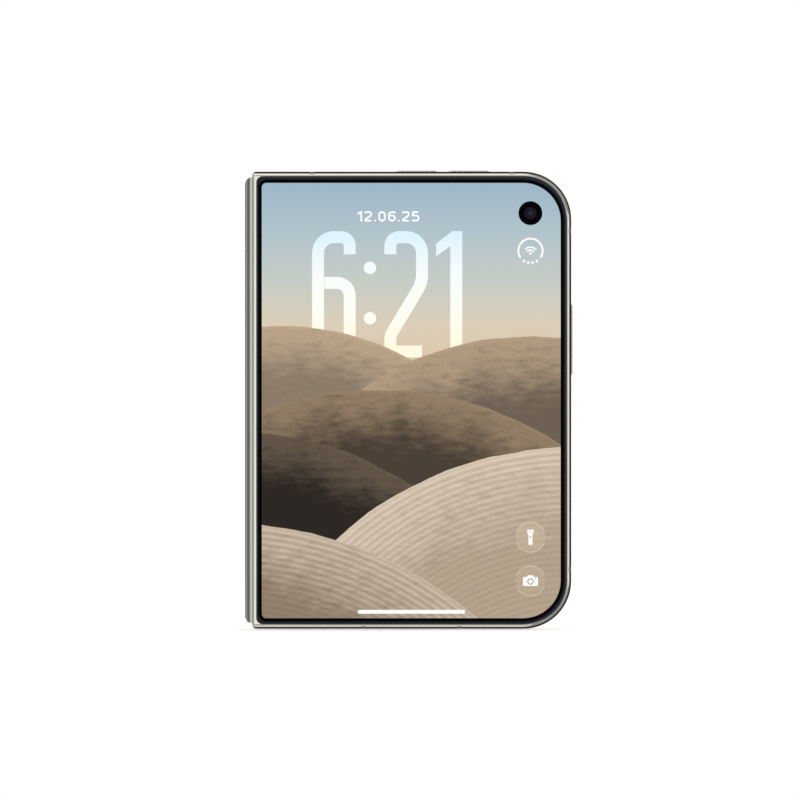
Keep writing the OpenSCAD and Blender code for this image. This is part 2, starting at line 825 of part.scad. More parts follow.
module inner_panel(camera) {
    color(glass_black) translate([0, 0, panel_z]) linear_extrude(height = panel_t) difference() {
        intersection() {
            plan(panel_y, pivot_x + slack, 0.1);
            square([half_w - display_side, body_h]);
        }
        if (camera) translate([half_w - inner_camera_in, body_h - inner_camera_in])
            circle(inner_camera_r + 2 * slack, $fn = small_fn);
    }
}

function involute(r, a) = [r * (cos(a) + a * PI / 180 * sin(a)), r * (sin(a) - a * PI / 180 * cos(a))];
function reach(rb, r) = sqrt(max(0, r * r / rb / rb - 1)) * 180 / PI;
function turn(p, a) = [p[0] * cos(a) - p[1] * sin(a), p[0] * sin(a) + p[1] * cos(a)];
function flip(p) = [p[0], -p[1]];

// One gear tooth with involute flanks, pointing along X
module tooth() {
    base_r = axis_z * cos(20);
    at_pitch = reach(base_r, axis_z);
    lead = at_pitch - atan(at_pitch * PI / 180);
    half_angle = 90 / gear_teeth - tooth_play / 2 / axis_z * 180 / PI;
    steps = 4;
    tip = reach(base_r, tooth_tip_r);
    flank = [for (i = [0 : steps]) turn(involute(base_r, tip * i / steps), -half_angle - lead)];
    other = [for (i = [steps : -1 : 0]) flip(flank[i])];
    inner = turn([tooth_root_r - 0.05, 0], -half_angle - lead);
    polygon(concat([inner], flank, other, [flip(inner)]));
}

// Outline of a hinge arm: toothed knuckle, neck and foot
module arm_outline(phase) {
    sector = 105;
    difference() {
        union() {
            translate([axis_x, axis_z]) {
                circle(tooth_root_r);
                for (a = [-sector / 2 + phase : 360 / gear_teeth : sector / 2 + phase])
                    rotate(225 + a) tooth();
            }
            translate([axis_x, neck_z0]) square([foot_x0 + 0.5 - axis_x, neck_z1 - neck_z0]);
            translate([foot_x0, foot_z0]) square([foot_x1 - foot_x0, foot_z1 - foot_z0]);
        }
        translate([axis_x, axis_z]) circle(pin_r + run);
        translate([pivot_x, wing_z]) circle(wing_pin_r + run, $fn = small_fn);
        for (x = arm_screw_x) translate([x, arm_screw_z]) circle(screw_r + slack, $fn = small_fn);
    }
}

module hinge_arms(phase) {
    color(steel) both_ends() along_y(arm_y, arm_y + gear_w) arm_outline(phase);
}

module arm_screws() {
    color(dark_metal) both_ends() for (x = arm_screw_x)
        translate([x, arm_y + gear_w + seam, arm_screw_z]) rotate([90, 0, 0]) {
            cylinder(r = screw_r - seam, h = gear_w + 0.9, $fn = small_fn);
            translate([0, 0, -screw_head_t]) cylinder(r = screw_head_r, h = screw_head_t, $fn = small_fn);
        }
}

// Support plate under the display, tilted outwards while the phone is closed
module wing() {
    color(steel) {
        along_y(panel_y, body_h - panel_y) translate([pivot_x, wing_z]) rotate(-wing_tilt)
            translate([-wing_l, -wing_t / 2]) square([wing_l + wing_pin_r, wing_t]);
        both_ends() translate([pivot_x, panel_y + slack, wing_z]) rotate([90, 0, 0])
            cylinder(r = wing_pin_r, h = panel_y - arm_y - 0.1, $fn = small_fn);
    }
}

// Section of the spine, grown or shrunk by its wall
module spine_section(wall, x1) {
    x0 = spine_x + wall;
    r = spine_r - wall;
    intersection() {
        translate([x0, -half_t]) square([x1 - x0, closed_t]);
        union() {
            for (s = [-1, 1]) translate([axis_x, s * axis_z]) circle(r);
            translate([x0, -axis_z]) square([x1 - x0, 2 * axis_z]);
        }
    }
}

// Spine solid with round corners, seen from the front
module spine_solid(wall, x1) {
    y0 = spine_y0 + wall;
    y1 = spine_y1 - wall;
    r = spine_end_r - wall;
    x0 = spine_x + wall;
    intersection() {
        along_y(y0, y1) spine_section(wall, x1);
        translate([0, 0, -half_t]) linear_extrude(height = closed_t) {
            for (y = [y0 + r, y1 - r]) translate([x0 + r, y]) circle(r);
            translate([x0, y0 + r]) square([r, y1 - y0 - 2 * r]);
            translate([x0 + r, y0]) square([x1 - x0 - r, y1 - y0]);
        }
    }
}

module spine_cover() {
    color(metal) difference() {
        spine_solid(0, tail_reach);
        spine_solid(spine_wall, tail_reach + over);
        both_ends() along_y(0, spine_y0 + spine_wall + over / 4) {
            for (s = [-1, 1]) translate([axis_x, s * axis_z]) circle(tooth_tip_r + 0.1);
            translate([0, -half_t]) square([over, closed_t]);
        }
        for (y = bracket_screw_y) translate([spine_x + 0.2, y, 0]) rotate([0, 90, 0])
            cylinder(r = screw_r, h = over, $fn = small_fn);
    }
}

// Bracket in one end of the spine, with the ears that hold the hinge pins
module bracket() {
    screw_y = [ear_y + bracket_screw_in, bracket_y1 - bracket_end_in];
    color(dark_metal) difference() {
        union() {
            intersection() {
                spine_solid(spine_wall + slack, bracket_x1);
                translate([-half_t, ear_y, -half_t]) cube([closed_t, bracket_l, closed_t]);
            }
            along_y(ear_y, ear_y + ear_w) {
                for (s = [-1, 1]) translate([axis_x, s * axis_z]) circle(ear_r);
                translate([bracket_x1 - over, -axis_z - ear_r])
                    square([axis_x + over - bracket_x1, 2 * (axis_z + ear_r)]);
                translate([axis_x, -axis_z]) square([ear_r, 2 * axis_z]);
            }
        }
        for (s = [-1, 1]) translate([axis_x, ear_y - over, s * axis_z]) rotate([-90, 0, 0])
            cylinder(r = pin_r + seam / 2, h = ear_w + 2 * over, $fn = small_fn);
        translate([spine_x, stud_y, 0]) rotate([0, 90, 0])
            cylinder(r = stud_r + run, h = half_t, $fn = small_fn);
        for (y = screw_y) translate([spine_x, y, 0]) rotate([0, 90, 0]) {
            cylinder(r = screw_r + slack, h = half_t, $fn = small_fn);
            translate([0, 0, bracket_x1 - spine_x - screw_head_t - seam])
                cylinder(r = screw_head_r + slack, h = over, $fn = small_fn);
        }
    }
}

module lower_bracket() bracket();
module upper_bracket() translate([0, body_h, 0]) mirror([0, 1, 0]) bracket();

module bracket_screws() {
    x0 = spine_x + spine_wall / 2;
    x1 = bracket_x1 - screw_head_t;
    color(dark_metal) for (y = bracket_screw_y) translate([0, y, 0]) rotate([0, 90, 0]) {
        translate([0, 0, x0]) cylinder(r = screw_r - seam, h = x1 - x0 + seam, $fn = small_fn);
        translate([0, 0, x1]) cylinder(r = screw_head_r, h = screw_head_t, $fn = small_fn);
    }
}

module hinge_pins() {
    color(polished) both_ends() for (s = [-1, 1]) translate([axis_x, arm_y, s * axis_z]) rotate([-90, 0, 0])
        cylinder(r = pin_r, h = pin_y1 - arm_y, $fn = small_fn);
}

module friction_washers() {
    color(copper) both_ends() for (s = [-1, 1]) translate([axis_x, washer_y, s * axis_z]) rotate([-90, 0, 0])
        difference() {
            cylinder(r = ear_r - 0.1, h = washer_t, $fn = small_fn);
            translate([0, 0, -over]) cylinder(r = pin_r + run, h = 3 * over, $fn = small_fn);
        }
}

// Plate that lifts the middle of the display as the phone opens, with a stud in each bracket
module lift_plate() {
    color(steel) {
        block(lift_x1 - lift_t, lift_x1, panel_y, body_h - panel_y, -lift_half, lift_half);
        both_ends() translate([lift_x1 - lift_t - stud_l, stud_y, 0]) rotate([0, 90, 0])
            cylinder(r = stud_r, h = stud_l + slack, $fn = small_fn);
    }
}

// Fold of the inner display as it lies when closed: a drop-shaped loop
module inner_display_fold() {
    color(glass_black) along_y(panel_y, body_h - panel_y) {
        difference() {
            translate([fold_x, 0]) circle(fold_r + panel_t / 2);
            translate([fold_x, 0]) circle(fold_r - panel_t / 2);
            polygon([
                [fold_x, 0],
                [fold_x + 4 * sin(wing_tilt), 4 * cos(wing_tilt)],
                [fold_x + 6, 4], [fold_x + 6, -4],
                [fold_x + 4 * sin(wing_tilt), -4 * cos(wing_tilt)]
            ]);
        }
        for (s = [0, 1]) mirror([0, s]) translate([pivot_x, fold_mid]) rotate(180 - wing_tilt)
            translate([0, -panel_t / 2]) square([flank_l + seam, panel_t]);
    }
}

// Ribbon cable that joins the two halves' boards through the spine
module spine_ribbon() {
    x1 = ribbon_x1 - socket_w / 2;
    color("#8a5a2b") along_y(ribbon_y - ribbon_w / 2, ribbon_y + ribbon_w / 2) {
        for (s = [0, 1]) mirror([0, s]) {
            translate([axis_x, axis_z]) difference() {
                circle(ribbon_r);
                circle(ribbon_r - ribbon_t);
                translate([0, -2 * ribbon_r]) square(4 * ribbon_r);
                translate([-2 * ribbon_r, -3 * ribbon_r]) square([4 * ribbon_r, 3 * ribbon_r]);
            }
            translate([axis_x - seam, ribbon_z - ribbon_t]) square([x1 - axis_x, ribbon_t]);
            translate([axis_x - ribbon_r, -seam]) square([ribbon_t, axis_z + 2 * seam]);
        }
    }
}

// Socket on a board for the ribbon
module ribbon_socket() {
    y0 = ribbon_y - ribbon_w / 2;
    z1 = ribbon_z - ribbon_t - seam;
    block(ribbon_x1 - socket_w, ribbon_x1, y0, y0 + ribbon_w, part_z + board_t / 2, z1);
}

module cover_glass() {
    color(glass_black) glass_slab();
}

module cover_display() {
    color("#a99a85") difference() {
        plate(cover_panel_in, cover_panel_x0, glass_z - seam - cover_panel_t, glass_z - seam, 1.2);
        translate([cover_camera_x, cover_camera_y, 0]) cylinder(r = punch_r, h = half_t);
    }
}

// Square camera housing on the board, its barrel in the display's hole
module cover_camera() {
    base_z = part_z + board_t + seam;
    top = glass_z - seam;
    barrel = punch_r - 6 * slack;
    cup = 0.5;
    color("#15161a") translate([cover_camera_x, cover_camera_y, 0]) difference() {
        union() {
            block(-punch_r, punch_r, -punch_r, punch_r, base_z, top - cover_panel_t - 6 * slack);
            translate([0, 0, base_z]) cylinder(r = barrel, h = top - base_z, $fn = small_fn);
        }
        translate([0, 0, top - cup])
            cylinder(r1 = 1, r2 = cover_camera_lens_r, h = cup + seam / 2, $fn = small_fn);
    }
}

module earpiece() {
    y1 = body_h - rail_t - 0.5 * part_gap;
    x0 = (half_w - ear_slot_l) / 2;
    z1 = glass_z - cover_panel_t - 6 * slack;
    color("#303134") block(x0, x0 + ear_slot_l, y1 - earpiece_w, y1, part_z, z1);
}

module front_board() {
    color(board_green) {
        ribbon_socket();
        block(battery_x0, board_x1, front_board_y0, front_board_y1, part_z, part_z + board_t);
    }
}

module front_battery() {
    z1 = glass_z - cover_panel_t - 7 * slack;
    color(battery_grey) cell(battery_x0, battery_x1, front_battery_y0, front_board_y0 - part_gap, part_z, z1);
}

module inner_camera() {
    color("#15161a") translate([half_w - inner_camera_in, body_h - inner_camera_in, panel_z + slack])
        cylinder(r = inner_camera_r, h = panel_t);
}

as_rear() rear_frame();
as_rear() antenna_bands();  // rear_antenna_bands
as_rear() rear_glass();
as_rear() camera_island();
as_rear() lens_rings();
as_rear() lens_windows();
as_rear() camera_modules();
as_rear() flash_window();
as_rear() flash_led();
as_rear() main_board();
as_rear() shield_cans();
as_rear() rear_battery();
as_rear() charging_coil();
as_rear() charging_magnets();
as_rear() loudspeaker();
as_rear() haptic_motor();
as_rear() port_shell();
as_rear() port_tongue();
as_rear() button_switches();
as_rear() latch_magnets();  // rear_latch_magnets
as_rear() rim();  // rear_rim
as_rear() inner_panel(false);  // inner_display_rear
as_rear() hinge_arms(0);  // rear_hinge_arms
as_rear() arm_screws();  // rear_arm_screws
as_rear() volume_up_button();
as_rear() volume_down_button();
as_rear() side_button();
as_rear() wing();  // rear_wing
as_rear() spine_cover();
as_rear() upper_bracket();
as_rear() lower_bracket();
as_rear() bracket_screws();
as_rear() hinge_pins();
as_rear() friction_washers();
as_rear() lift_plate();
as_rear() inner_display_fold();
as_rear() spine_ribbon();
as_front() front_frame();
as_front() antenna_bands();  // front_antenna_bands
as_front() cover_glass();
as_front() cover_display();
as_front() cover_camera();
as_front() earpiece();
as_front() front_board();
as_front() front_battery();
as_front() inner_camera();
as_front() latch_magnets();  // front_latch_magnets
as_front() rim();  // front_rim
as_front() inner_panel(true);  // inner_display_front
as_front() hinge_arms(10);  // front_hinge_arms
as_front() arm_screws();  // front_arm_screws
as_front() wing();  // front_wing
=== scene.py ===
"""Looks of the foldable smartphone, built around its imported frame.

The closed phone stands on its bottom edge. Its cover display looks towards -Y,
its spine lies at -X and its camera island at +Y. Row X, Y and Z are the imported
frame's own axes. Lengths are millimetres where nothing else is said, and a mesh
is scaled to metres when it becomes an object.
"""
import logging
import math
from collections.abc import Callable, Iterable, Sequence
from dataclasses import dataclass, field
from enum import Enum

import bmesh
import bpy
from mathutils import Matrix, Vector

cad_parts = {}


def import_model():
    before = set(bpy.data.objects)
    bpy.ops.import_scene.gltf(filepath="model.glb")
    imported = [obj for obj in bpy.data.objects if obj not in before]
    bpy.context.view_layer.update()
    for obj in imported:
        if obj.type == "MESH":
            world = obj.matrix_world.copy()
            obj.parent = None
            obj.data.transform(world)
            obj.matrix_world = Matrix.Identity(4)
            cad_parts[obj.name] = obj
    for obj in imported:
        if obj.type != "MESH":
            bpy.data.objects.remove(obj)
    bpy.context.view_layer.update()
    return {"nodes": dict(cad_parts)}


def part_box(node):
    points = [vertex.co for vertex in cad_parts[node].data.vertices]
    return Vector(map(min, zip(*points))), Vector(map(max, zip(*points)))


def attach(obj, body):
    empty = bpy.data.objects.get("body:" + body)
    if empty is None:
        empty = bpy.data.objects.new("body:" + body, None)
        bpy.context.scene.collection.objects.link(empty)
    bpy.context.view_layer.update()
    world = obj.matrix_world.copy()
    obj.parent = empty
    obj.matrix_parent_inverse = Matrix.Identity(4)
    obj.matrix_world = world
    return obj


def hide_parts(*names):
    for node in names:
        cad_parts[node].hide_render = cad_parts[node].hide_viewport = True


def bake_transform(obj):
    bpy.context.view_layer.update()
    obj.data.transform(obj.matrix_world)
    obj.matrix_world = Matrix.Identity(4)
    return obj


Colour = tuple[float, float, float, float]
Point = tuple[float, float]
Corner = tuple[float, float, float]
Stop = tuple[float, Colour]

MM = 0.001
MICRON = 1e-6
LOG = logging.getLogger("foldable_phone")

# Row X of the hinge edge, and the height of the cover camera
HINGE_X = -41.33
EYE_Z = 109.65
# Distance in millimetres within which corners are merged
MERGE = 1e-4
# Angle in degrees from which an edge stays sharp
SHARP = 35
# Numbers of the curve between a display's colour and the linear one
FOOT_END, FOOT_SLOPE, CURVE_SHIFT, CURVE_POWER = 0.04045, 12.92, 0.055, 2.4
# Share of the mirrored light that the dark-edged metals keep at a glancing angle
GLANCE = 0.15
# Painted dark reflections along round edges: levels of the metal's colour by the normal's share to the front,
# a wall at 0, the front at 1
EDGE_REFLECTION_LEVELS = ((0.05, 1.0), (0.12, 0.06), (0.74, 0.04), (0.81, 0.25), (0.87, 1.0))
# The same painted dark reflections across the spine's round cover
SPINE_REFLECTION_LEVELS = (
    (0.03, 1.0), (0.08, 0.04), (0.38, 0.04), (0.49, 0.72), (0.61, 0.28),
    (0.71, 0.1), (0.8, 0.24), (0.86, 0.55), (0.9, 0.68), (0.93, 0.72),
)


def paint(red: float, green: float, blue: float) -> Colour:
    """Turns a display colour into the linear one that a shader takes.

    Args:
        red: Red from 0 to 255.
        green: Green from 0 to 255.
        blue: Blue from 0 to 255.

    Returns:
        The linear colour, opaque.
    """
    linear = []
    for part in (red / 255, green / 255, blue / 255):
        curved = ((part + CURVE_SHIFT) / (1 + CURVE_SHIFT)) ** CURVE_POWER
        linear.append(part / FOOT_SLOPE if part <= FOOT_END else curved)
    return (linear[0], linear[1], linear[2], 1.0)


def grey(level: float) -> Colour:
    """Returns a linear grey."""
    return (level, level, level, 1.0)


# Tint of the flash's window and lens
FLASH_TINT = paint(240, 234, 214)


def toned(colour: Colour, share: float) -> Colour:
    """Returns a colour made lighter or darker by a share."""
    return (colour[0] * share, colour[1] * share, colour[2] * share, 1.0)


class Body(Enum):
    """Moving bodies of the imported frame."""

    REAR = "rear_half"
    SPINE = "spine"
    FRONT = "front_half"


class Slot(Enum):
    """Material slots of the record, passed along with the new pieces."""

    COVER_PANEL = "cover_panel"
    INNER_PANEL = "inner_panel"
    FLEX = "flex"
    LENS = "lens_glass"
    DIFFUSER = "diffuser"
    COPPER = "copper"


class Value:
    """A node's output that takes part in arithmetic."""

    def __init__(self, shader: "Shader", socket: bpy.types.NodeSocket) -> None:
        """Wraps one output socket of a shader's tree."""
        self.shader = shader
        self.socket = socket

    def _math(self, operation: str, first: "Number", second: "Number" = 0.5) -> "Value":
        """Adds a Math node for two operands."""
        return self.shader.node("ShaderNodeMath", {"operation": operation}, {0: first, 1: second})

    def __add__(self, other: "Number") -> "Value":
        """Adds a number or a value."""
        return self._math("ADD", self, other)

    def __radd__(self, other: "Number") -> "Value":
        """Adds this value to a number."""
        return self._math("ADD", other, self)

    def __sub__(self, other: "Number") -> "Value":
        """Takes a number or a value away."""
        return self._math("SUBTRACT", self, other)

    def __rsub__(self, other: "Number") -> "Value":
        """Takes this value away from a number."""
        return self._math("SUBTRACT", other, self)

    def __mul__(self, other: "Number") -> "Value":
        """Multiplies by a number or a value."""
        return self._math("MULTIPLY", self, other)

    def __rmul__(self, other: "Number") -> "Value":
        """Multiplies a number by this value."""
        return self._math("MULTIPLY", other, self)

    def __truediv__(self, other: "Number") -> "Value":
        """Divides by a number or a value."""
        return self._math("DIVIDE", self, other)

    def __rtruediv__(self, other: "Number") -> "Value":
        """Divides a number by this value."""
        return self._math("DIVIDE", other, self)

    def done(self, operation: str, other: "Number" = 0.5) -> "Value":
        """Applies a named operation of the Math node.

        Args:
            operation: Name of the operation, such as SINE or MAXIMUM.
            other: Second operand, where the operation has one.

        Returns:
            The result.
        """
        return self._math(operation, self, other)

    def within(self, low: float, high: float) -> "Value":
        """Keeps the value between two limits."""
        return self.done("MAXIMUM", low).done("MINIMUM", high)

    def diagonal(self, other: "Value") -> "Value":
        """Returns the length whose two square parts are this value and another."""
        return (self * self + other * other).done("SQRT")

    def wave(self, pitch: float) -> "Value":
        """Turns a length into a sine wave of a pitch, from -1 to 1."""
        return (self * (2 * math.pi / pitch)).done("SINE")

    def step(self, low: float, high: float) -> "Value":
        """Rises smoothly from 0 to 1 between two limits.

        Args:
            low: Where it leaves 0.
            high: Where it reaches 1.

        Returns:
            The smooth step.
        """
        settings = {"interpolation_type": "SMOOTHSTEP"}
        sockets = {"Value": self, "From Min": low, "From Max": high}
        return self.shader.node("ShaderNodeMapRange", settings, sockets)

    def output(self, name: str) -> "Value":
        """Returns another output of the same node."""
        return Value(self.shader, self.socket.node.outputs[name])


Number = float | Value


class Shader:
    """Builds one node tree."""

    def __init__(self, tree: bpy.types.NodeTree) -> None:
        """Starts from an empty tree of a material or of the world."""
        self.tree = tree
        tree.nodes.clear()

    def node(
        self,
        kind: str,
        settings: dict | None = None,
        sockets: dict | None = None,
        output: int | str = 0,
    ) -> Value:
        """Adds a node.

        Args:
            kind: Type of the node.
            settings: Its properties, set first. A ramp's stops are pairs of place and colour.
            sockets: Values or links of its inputs, by name or number.
            output: Output that is wanted.

        Returns:
            That output as a value.
        """
        made = self.tree.nodes.new(kind)
        for name, value in (settings or {}).items():
            if name == "stops":
                self._set_stops(made.color_ramp, value)
            else:
                setattr(made, name, value)
        for name, value in (sockets or {}).items():
            if isinstance(value, Value):
                self.tree.links.new(value.socket, made.inputs[name])
            else:
                made.inputs[name].default_value = value
        return Value(self, made.outputs[output] if made.outputs else None)

    @staticmethod
    def _set_stops(ramp: bpy.types.ColorRamp, stops: Sequence[Stop]) -> None:
        """Gives a ramp its stops.

        Args:
            ramp: Ramp of a new node.
            stops: Places and colours, in rising order.
        """
        while len(ramp.elements) < len(stops):
            ramp.elements.new(0.5)
        for element, (place, colour) in zip(ramp.elements, stops, strict=True):
            element.position = place
            element.color = colour

    def place(self) -> Value:
        """Returns the point on the piece in millimetres."""
        sockets = {0: self.node("ShaderNodeTexCoord", output="Object"), "Scale": 1 / MM}
        return self.node("ShaderNodeVectorMath", {"operation": "SCALE"}, sockets)

    def split(self, vector: Value) -> tuple[Value, Value, Value]:
        """Returns a vector's three parts."""
        x = self.node("ShaderNodeSeparateXYZ", None, {0: vector})
        return x, x.output("Y"), x.output("Z")

    def stretched(self, vector: Value, factors: Sequence[float]) -> Value:
        """Multiplies a vector part by part."""
        settings = {"operation": "MULTIPLY"}
        return self.node("ShaderNodeVectorMath", settings, {0: vector, 1: tuple(factors)})

    def noise(self, vector: Value, size: float, detail: float = 2.0) -> Value:
        """Adds noise with features of a size in millimetres.

        Args:
            vector: Point in millimetres.
            size: Length of a feature.
            detail: Number of finer layers.

        Returns:
            The noise, about 0.5.
        """
        sockets = {"Vector": vector, "Scale": 1 / size, "Detail": detail}
        return self.node("ShaderNodeTexNoise", None, sockets)

    def cells(self, vector: Value, size: float) -> Value:
        """Adds cells of a size in millimetres and returns the distance from their middles."""
        return self.node("ShaderNodeTexVoronoi", None, {"Vector": vector, "Scale": 1 / size})

    def facing(self) -> Value:
        """Returns how far the surface faces to the front, which is -Y, from -1 to 1."""
        return 0.0 - self.split(self.node("ShaderNodeTexCoord", output="Normal"))[1]

    def blend(self, first: "Tint", second: "Tint", share: Number) -> Value:
        """Mixes two colours.

        Args:
            first: Colour at share 0.
            second: Colour at share 1.
            share: Mixing share.

        Returns:
            The mixed colour.
        """
        sockets = {0: share, 6: first, 7: second}
        return self.node("ShaderNodeMix", {"data_type": "RGBA"}, sockets, 2)

    def varied(self, colour: Colour, low: float, high: float, share: Number) -> Value:
        """Varies a colour between two shares of itself."""
        return self.blend(toned(colour, low), toned(colour, high), share)

    def ramp(self, share: Value, stops: Sequence[Stop]) -> Value:
        """Looks a value up in a ramp of colours."""
        return self.node("ShaderNodeValToRGB", {"stops": stops}, {0: share})

    def with_painted_reflection(self, colour: Value, reflection_levels: Sequence[Point]) -> Value:
        """Darkens a colour by how far the surface faces to the front, painting dark reflections into it.

        Args:
            colour: Colour of the surface.
            reflection_levels: Pairs of the normal's share to the front, from 0 to 1, and the
                share of the colour that stays there. Without any, all of it stays.

        Returns:
            The darkened colour.
        """
        if not reflection_levels:
            return colour
        # The kept share paints dark reflections by the normal's share to the front
        kept = self.ramp(self.facing(), [(place, grey(level)) for place, level in reflection_levels])
        return self.blend(grey(0.0), colour, kept)

    def bump(self, height: Value, depth: float) -> Value:
        """Turns a height from 0 to 1 into a normal.

        Args:
            height: Height over the surface.
            depth: Depth of the relief in metres.

        Returns:
            The bent normal.
        """
        return self.node("ShaderNodeBump", None, {"Distance": depth, "Height": height})

    def surface(self, sockets: dict) -> None:
        """Ends the tree in a Principled shader with these sockets."""
        shader = self.node("ShaderNodeBsdfPrincipled", None, sockets)
        self.node("ShaderNodeOutputMaterial", None, {"Surface": shader})

    def screen(self, glass: "Tint", light: Value) -> None:
        """Ends the tree in a display's smooth, slightly smeared glass.

        Args:
            glass: Colour of the glass.
            light: Colour that the display shines with.
        """
        smear = self.noise(self.place(), 8.0, 4.0)
        self.surface({
            "Base Color": glass,
            "Roughness": smear * 0.03 + 0.02,
            "Specular IOR Level": 0.4,
            "Emission Color": light,
            "Emission Strength": 1.0,
        })


Tint = Colour | Value


@dataclass(frozen=True)
class Finish:
    """A finish that makes its own Blender material.

    Attributes:
        name: Name of the material.
    """

    name: str

    def material(self) -> bpy.types.Material:
        """Makes the material.

        Returns:
            The new material.
        """
        made = bpy.data.materials.new(self.name)
        made.use_nodes = True
        self.dress(Shader(made.node_tree))
        return made

    def dress(self, shader: Shader) -> None:
        """Builds the node tree in a kind of finish."""
        raise NotImplementedError


@dataclass(frozen=True)
class Lip:
    """Lip of a frame along the hinge: a crowned front face with a painted dark reflection along its edge.

    Attributes:
        x: Row X of its edge.
        crown: Rise of its front face, in millimetres for each millimetre across.
        rise: Where the rise starts and ends, from the edge.
        front: The normal's shares to the front between which the crown sets in.
        edge: Where the painted dark reflection along the edge starts to fade and ends, from the edge.
        side: The normal's shares to the front between which the painted dark reflection fades.
        shade: Share of the metal's colour in the painted dark reflection along the edge.
    """

    x: float
    crown: float = 0.45
    rise: Point = (0.2, 3.0)
    front: Point = (0.97, 0.995)
    edge: Point = (0.2, 0.5)
    side: Point = (0.6, 0.3)
    shade: float = 0.3

    def dress(self, shader: Shader, metal: Colour, colour: Value, normal: Value) -> tuple[Value, Value]:
        """Adds the lip to a metal's tree.

        Args:
            shader: Shader that gets the nodes.
            metal: Colour of the metal.
            colour: Colour that the tree has so far.
            normal: Normal that the tree has so far.

        Returns:
            The colour and the normal with the lip.
        """
        across, facing = shader.split(shader.place())[0] - self.x, shader.facing()
        height = across.within(*self.rise) * self.crown
        sockets = {"Strength": facing.step(*self.front), "Distance": MM, "Height": height, "Normal": normal}
        crowned = shader.node("ShaderNodeBump", None, sockets)
        # Painted dark reflection: near the edge and where it faces sideways, the metal's colour is darkened
        plain = across.step(*self.edge).done("MAXIMUM", facing.step(*self.side))
        return shader.blend(toned(metal, self.shade), colour, plain), crowned


@dataclass(frozen=True)
class Metal(Finish):
    """Metal with faint clouds, brushing and pores.

    Attributes:
        colour: Colour of the metal.
        roughness: Mean roughness.
        relief: Depth of the brushing in metres.
        brushing: Factors that stretch the brushing.
        stroke: Width of a stroke in millimetres.
        reflection_levels: Levels of the colour by the normal's share to the front, which paint
            into the colour the dark reflections that a round edge mirrors.
        lip: Lip along the hinge, if there is one.
        glance: Share of the mirrored light that stays at a glancing angle.
        cloud: Length of a cloud in millimetres.
        pore: Width of a pore in millimetres.
        change: How far clouds and brushing each change the roughness.
    """

    colour: Colour
    roughness: float = 0.16
    relief: float = 0.25 * MICRON
    brushing: tuple[float, float, float] = (1.0, 1.0, 1.0)
    stroke: float = 0.3
    reflection_levels: tuple[Point, ...] = ()
    lip: Lip | None = None
    glance: float = 1.0
    cloud: float = 9.0
    pore: float = 0.05
    change: float = 0.03

    def dress(self, shader: Shader) -> None:
        """Builds the metal's tree.

        Args:
            shader: Shader that gets the nodes.
        """
        place = shader.place()
        cloud = shader.noise(place, self.cloud, 3.0)
        brushed = shader.noise(shader.stretched(place, self.brushing), self.stroke)
        pores = shader.noise(place, self.pore)
        # Painted dark reflections: the colour is darkened where the surface turns away from the front
        colour = shader.with_painted_reflection(shader.varied(self.colour, 0.95, 1.04, cloud), self.reflection_levels)
        normal = shader.bump(brushed * 0.7 + pores * 0.3, self.relief)
        if self.lip:
            colour, normal = self.lip.dress(shader, self.colour, colour, normal)
        shader.surface({
            "Base Color": colour,
            "Metallic": 1.0,
            "Specular Tint": grey(self.glance),
            "Roughness": cloud * self.change + brushed * self.change + (self.roughness - self.change),
            "Normal": normal,
        })


@dataclass(frozen=True)
class Plastic(Finish):
    """Moulded plastic with a fine grain.

    Attributes:
        colour: Colour of the plastic.
        roughness: Mean roughness.
        grain: Width of a grain in millimetres.
        relief: Depth of the grain in metres.
        reflection_levels: Levels of the colour by the normal's share to the front, which paint dark
            reflections into it.
        cloud: Length of a cloud in millimetres.
        change: How far the grain changes the roughness.
    """

    colour: Colour
    roughness: float = 0.4
    grain: float = 0.08
    relief: float = 3 * MICRON
    reflection_levels: tuple[Point, ...] = ()
    cloud: float = 4.0
    change: float = 0.12

    def dress(self, shader: Shader) -> None:
        """Builds the plastic's tree.

        Args:
            shader: Shader that gets the nodes.
        """
        place = shader.place()
        grain = shader.noise(place, self.grain, 3.0)
        cloud = shader.noise(place, self.cloud)
        colour = shader.varied(self.colour, 0.9, 1.1, cloud * 0.6 + grain * 0.4)
        shader.surface({
            # Painted dark reflections along the round edges
            "Base Color": shader.with_painted_reflection(colour, self.reflection_levels),
            "Roughness": grain * self.change + (self.roughness - self.change / 2),
            "Normal": shader.bump(grain, self.relief),
        })


@dataclass(frozen=True)
class SatinGlass(Finish):
    """Etched glass, tinted from behind, with a slight sparkle.

    Attributes:
        colour: Colour of the tint.
        cloud: Length of a cloud in millimetres.
        etching: Width of an etched pit.
        flake: Distance between the flakes of the tint.
        sparkle: Share of a flake that shows.
        relief: Depth of the etching in metres.
    """

    colour: Colour
    cloud: float = 22.0
    etching: float = 0.06
    flake: float = 0.12
    sparkle: float = 0.3
    relief: float = 1.2 * MICRON

    def dress(self, shader: Shader) -> None:
        """Builds the satin glass's tree.

        Args:
            shader: Shader that gets the nodes.
        """
        place = shader.place()
        cloud = shader.noise(place, self.cloud, 3.0)
        etched = shader.noise(place, self.etching)
        flakes = shader.cells(place, self.flake).step(0.2, 0.05)
        body = shader.varied(self.colour, 0.965, 1.02, cloud)
        shader.surface({
            "Base Color": shader.blend(body, toned(self.colour, 1.16), flakes * self.sparkle),
            "Roughness": etched * 0.12 + 0.3,
            "Coat Weight": 0.25,
            "Coat Roughness": 0.35,
            "Normal": shader.bump(etched, self.relief),
        })


